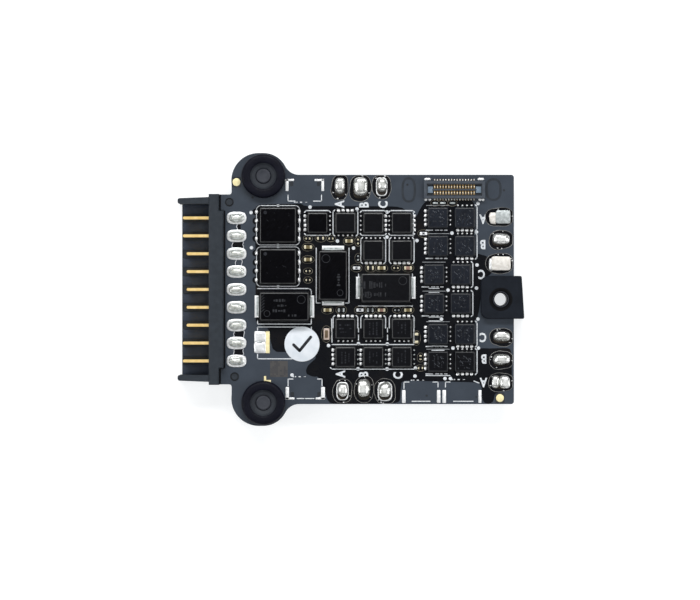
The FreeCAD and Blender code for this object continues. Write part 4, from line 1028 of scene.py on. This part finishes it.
# Bare footprints of four small connectors: pad middles and sizes, with feet.
FOOTPRINTS = [
    (-9.05, 14.84, 0.44, 1.71), (-3.97, 14.84, 0.36, 1.71), (-8.7, 15.55, 1.28, 0.29),
    (-4.47, 15.55, 1.35, 0.29), (-9.02, -14.76, 0.5, 1.78), (-3.94, -14.76, 0.56, 1.78),
    (-8.62, -15.5, 1.28, 0.29), (-4.32, -15.5, 1.35, 0.29), (7.54, -15.22, 0.5, 1.84),
    (12.51, -15.22, 0.5, 1.84), (13.29, -15.22, 0.5, 1.84), (18.37, -15.22, 0.43, 1.84),
]


def footprints():
    """Tinned pads that never got their connectors."""
    piece = Piece("bare_footprints", TIN)
    for x, y, length, width in FOOTPRINTS:
        piece.block(x, y, length, width, SUNK, TOP + 0.06, 0, 0.03, 0, 0.08)
    corner_x, corner_y = middle("board_connector_housing")[0].xy
    for dx, dy, length in ((-3.8, 1.5, 0.95), (3.76, 1.5, 0.95), (-4.06, -1.4, 0.4), (-3.5, -1.4, 0.38),
                           (3.62, -1.4, 0.4), (4.06, -1.4, 0.4)):
        piece.blob(corner_x + dx, corner_y + dy, length, 0.4, SEAT, 0.15, 0, 0, 4.0, 16, 4)
    piece.finish("solder")


def contact_joints(rng):
    """A fillet on each foot of the board connector, and a bright bar on each spring's crest as a painted
    highlight.
    """
    centre, size = middle("board_connector_contacts")
    count, pitch, spring, crest = 15, 0.4, 0.43, TOP + 0.6
    piece = Piece("contact_joints", TIN, DULL_TIN, CREST_HIGHLIGHT)
    for side in (-1, 1):
        foot = centre.y + side * (size.y / 2 - 0.13)
        for k in range(count):
            x = centre.x + (k - (count - 1) / 2) * pitch
            piece.blob(x, foot, 0.2, 0.34, SEAT, 0.16, 0 if side > 0 else 1, 0, 3.0, 12, 4, rng)
            # Pale bar on each spring: painted highlight.
            piece.blob(x, centre.y + side * spring - 0.02, 0.14, 0.26, crest, 0.07, 2, 0, 2.4, 12, 4, rng)
    piece.finish("solder")


def socket_trim():
    """Dark line round the socket's cavity."""
    centre, _ = middle("board_connector_housing")
    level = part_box("board_connector_housing")[1].z / MM
    piece = Piece("socket_trim", TRACE)
    length, width, line = 7.75, 1.7, 0.14
    low, high = level - 0.02, level + 0.004
    for side in (-1, 1):
        piece.block(centre.x, centre.y + side * 0.8, length, line, low, high)
        piece.block(centre.x + side * 3.87, centre.y, line, width, low, high)
    piece.finish("connector_plastic")


def label():
    """Round white film with a plain tick."""
    centre, size = middle("inspection_label")
    x, y = centre.xy
    piece = Piece("inspection_label_detail", FILM, LABEL_INK)
    piece.prism(oval(size.x, size.y, 2, 64), TOP + 0.005, TOP + 0.12, 0, 0.02, x, y)
    high = TOP + 0.13
    tick = placed([(-1.2, -0.1), (-0.35, -0.95), (1.25, 1.0)], x, y)
    piece.trail(tick, 0.42, high - 0.03, high, 1)
    piece.finish("label_paper", "inspection_label")


# --- carried-over CAD nodes


# CAD nodes whose shape was right: material and width of the softened edges.
CARRIED_OVER = {
    "battery_connector_housing": (NYLON, 0.06), "edge_damper": (DAMPER, 0.08),
    "edge_damper_sleeve": (SLEEVE, 0.04), "board_connector_housing": (SOCKET, 0.03),
    # The springs' brown gold is painted shade.
    "board_connector_contacts": (SHADED_CONTACT, 0.02), "board_connector_clips": (CLIP, 0.03),
}


def carried_over():
    for node, look in CARRIED_OVER.items():
        repaint(node, *look)
    for index in BLADES:
        repaint(f"battery_blade_{index}", GOLD, 0.05)


def damper_well():
    """Dark ring moulded round the sleeve's mouth, and a worn ring within it."""
    centre, top = middle("edge_damper_sleeve")[0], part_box("edge_damper_sleeve")[1].z / MM
    piece = Piece("damper_well", SLEEVE, GREY_RUBBER)
    piece.ring(centre.x, centre.y, 2.96, 2.96, top - 0.08, 0.34, 0, 2.0, 64)
    piece.ring(centre.x, centre.y, 2.16, 2.16, top - 0.24, 0.16, 1, 2.0, 64)
    piece.finish("rubber")


# The tray behind the blades, as the CAD has it: floor height, its front and back, and its half width.
TRAY_FLOOR, TRAY_FRONT, TRAY_BACK, TRAY_SIDE = 0.9, -24.08, -20.15, 12.2


def tray_bays():
    """Floor plates between the blades, and from the outer blades to the wings, in a paler, bluer copy of the
    housing plastic: painted light for the shade between the blades.
    """
    piece = Piece("tray_bays", LIT_TRAY)
    rib = 0.6
    edges = [TRAY_SIDE] + [middle(f"battery_blade_{index}")[0].y for index in BLADES] + [-TRAY_SIDE]
    for upper, lower in zip(edges, edges[1:]):
        high = upper - (0 if upper == TRAY_SIDE else rib)
        low = lower + (0 if lower == -TRAY_SIDE else rib)
        piece.block((TRAY_FRONT + TRAY_BACK) / 2 + 0.05, (high + low) / 2, TRAY_BACK - TRAY_FRONT - 0.1,
                    high - low, TRAY_FLOOR - 0.02, TRAY_FLOOR + 0.06, 0, 0.03)
    piece.finish("connector_plastic")


def grommet(node):
    """A flanged rubber bush: black outer ring, paler dish, and a raised grey pip in the middle."""
    low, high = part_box(node)
    base, top = low.z / MM, high.z / MM
    x, y = middle(node)[0].xy
    radius = (high.x - low.x) / 2 / MM
    piece = Piece(f"{node}_detail", RUBBER, PALE_RUBBER, GREY_RUBBER)
    piece.lathe(x, y, [
        (radius - 0.3, base, 0), (radius - 0.08, base + 0.06, 0), (radius, base + 0.28, 0),
        (radius, LOW - 0.3, 0), (radius - 0.1, LOW - 0.06, 0), (radius - 0.2, LOW - 0.01, 0),
        (2.08, LOW - 0.01, 0), (2.08, SEAT, 0), (radius - 0.2, SEAT, 0), (radius - 0.06, TOP + 0.08, 0),
        (radius, TOP + 0.3, 0), (radius, top - 0.35, 0), (radius - 0.1, top - 0.14, 0),
        (radius - 0.3, top - 0.03, 0), (radius - 0.5, top, 0), (2.15, top, 0), (1.98, top - 0.03, 0),
        (1.86, top - 0.12, 0), (1.7, top - 0.38, 1), (1.5, top - 0.5, 1), (1.12, top - 0.55, 1),
        (1.08, top - 0.6, 0), (1.02, top - 0.58, 0), (1.0, top - 0.45, 2), (0.92, top - 0.38, 2),
        (0.8, top - 0.36, 2), (0.72, top - 0.4, 2), (0.3, top - 0.4, 2),
    ])
    piece.finish("rubber", node, smooth=50)


# --- underside


def underside(rng):
    """Chips carried over from the CAD, with their joints, printed outlines and vias."""
    for name in ("motor_controllers", "gate_drivers", "voltage_regulator"):
        repaint(name, EPOXY, 0.04)
    repaint("current_shunts", GLAZE, 0.04)
    underside_joints()
    underside_printing()
    piece = Piece("underside_vias", TRACE)
    for _ in range(90):
        x, y = rng.uniform(-14.0, 22.0), rng.uniform(-15.8, 15.8)
        piece.prism(oval(0.34, 0.34, 2, 14), LOW - 0.012, LOW + 0.01, 0, 0, x, y)
    piece.finish("board_laminate")


# Square leadless chips on the underside: offset from the controller, size, pads on each side.
LEADLESS = [(0.0, 5.0, 8), (5.6, 4.0, 6)]


def leadless_chips():
    """Middle, size and pads a side of every controller and gate driver."""
    return [(x + shift, y, size, count) for x, y in CONTROLLERS for shift, size, count in LEADLESS]


def underside_joints():
    """Tinned pads round the leadless chips and at both ends of the shunts and the inductor."""
    piece = Piece("underside_joints", TIN)
    for x, y, size, count in leadless_chips():
        for turns in range(4):
            for k in range(count):
                place = spot(x, y, size / 2 + 0.12, (k - (count - 1) / 2) * 0.5, turns)
                piece.block(*place, 0.3, 0.24, LOW - 0.07, LOW + 0.01, 0, 0, turns)
    low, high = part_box("current_shunts")
    for x in (low.x / MM + 0.8, high.x / MM - 0.8):
        for y in (-1.7, 1.7):
            for side in (-1, 1):
                piece.block(x, y + side * 1.5, 1.7, 0.55, LOW - 0.62, LOW + 0.01, 0)
    for x, reach in ((2.6, 1.55), (7.4, 1.45)):
        for side in (-1, 1):
            piece.block(x + side * reach, 0, 0.5, 2.2, LOW - 0.2, LOW + 0.01, 0)
    piece.finish("solder")


def underside_printing():
    """Printed corners round the leadless chips, and a dot at the first pad of each."""
    piece = Piece("underside_printing", INK_WHITE)
    low, high = LOW - 0.02, LOW + 0.01
    for x, y, size, _ in leadless_chips():
        reach = size / 2 + 0.42
        for turns in range(4):
            corner = [(reach, reach - 0.6), (reach, reach), (reach - 0.6, reach)]
            piece.trail(placed(corner, x, y, turns), PRINT, low, high)
        piece.prism(oval(0.4, 0.4, 2, 16), low, high, 0, 0, x - reach - 0.3, y + size / 2)
    piece.finish("board_laminate")


# --- studio


# Softboxes: name, place, width, height, power.
LIGHTS = [
    ("overhead", (0.0, 0.0, 0.8), 0.5, 0.5, 0.75), ("key", (0.0, 0.42, 0.5), 0.7, 0.14, 3.8),
    ("left", (-0.5, -0.05, 0.38), 0.2, 0.4, 1.2), ("right", (0.5, -0.05, 0.38), 0.2, 0.4, 1.2),
    ("front", (0.0, -0.5, 0.4), 0.7, 0.14, 0.45),
]


def softbox(name, place, width, height, power):
    """A rectangular light that faces the middle of the object."""
    data = bpy.data.lights.new(name, "AREA")
    data.shape = "RECTANGLE"
    data.size, data.size_y, data.energy = width, height, power
    item = bpy.data.objects.new(name, data)
    show(item)
    item.location = place
    item.rotation_mode = "QUATERNION"
    item.rotation_quaternion = (-Vector(place)).to_track_quat("-Z", "Y")


def studio():
    scene = bpy.context.scene
    scene.view_settings.view_transform = "Standard"
    world = bpy.data.worlds.new("studio")
    world.use_nodes = True
    world.node_tree.nodes["Background"].inputs["Color"].default_value = (0.95, 0.97, 1.0, 1)
    world.node_tree.nodes["Background"].inputs["Strength"].default_value = 0.14
    scene.world = world
    for light in LIGHTS:
        softbox(*light)

    size = 3.0
    corners = [(-size, -size, 0), (size, -size, 0), (size, size, 0), (-size, size, 0)]
    data = bpy.data.meshes.new("floor")
    data.from_pydata([Vector(c) for c in corners], [], [(0, 1, 2, 3)])
    paint = Paint("floor", (0.93, 0.93, 0.93), 0.7, specular=0.2)
    paint.mottle(40.0, (0.42, 0.42, 0.42), (0.44, 0.44, 0.44))
    paint.shader.inputs["Emission Color"].default_value = (0.97, 0.99, 1.0, 1)
    paint.shader.inputs["Emission Strength"].default_value = 0.72
    data.materials.append(paint.material)
    floor = bpy.data.objects.new("floor", data)
    show(floor)
    floor.location.z = -0.00002


def camera():
    """Straight down through a long lens, level with the board's long edge."""
    lens, sensor, width = 200.0, 36.0, 0.0995
    data = bpy.data.cameras.new("camera")
    data.lens, data.sensor_width = lens, sensor
    item = bpy.data.objects.new("camera", data)
    item.location = (-0.0001, -0.0015, TOP * MM + width * lens / sensor)
    show(item)
    bpy.context.scene.camera = item


def build():
    rng = random.Random(7)
    board(rng)
    copper_marks(rng)
    solder_traces(rng)
    carried_over()
    damper_well()
    tray_bays()
    for node in ("upper_grommet", "lower_grommet"):
        grommet(node)
    for motor, sides in WIDE_SIDES.items():
        for index, side in enumerate(sides, 1):
            transistor(motor, index, side, rng)
    for index in (1, 2):
        power_switch(index, rng)
    for index in ETCHED:
        bulk_capacitor(index, rng)
    blade_joints(rng)
    for motor in MOUNDS:
        wire_pads(motor, rng)
    spare_pad(rng)
    chip_parts(rng)
    printing()
    footprints()
    contact_joints(rng)
    socket_trim()
    label()
    underside(rng)
    studio()
    camera()


build()
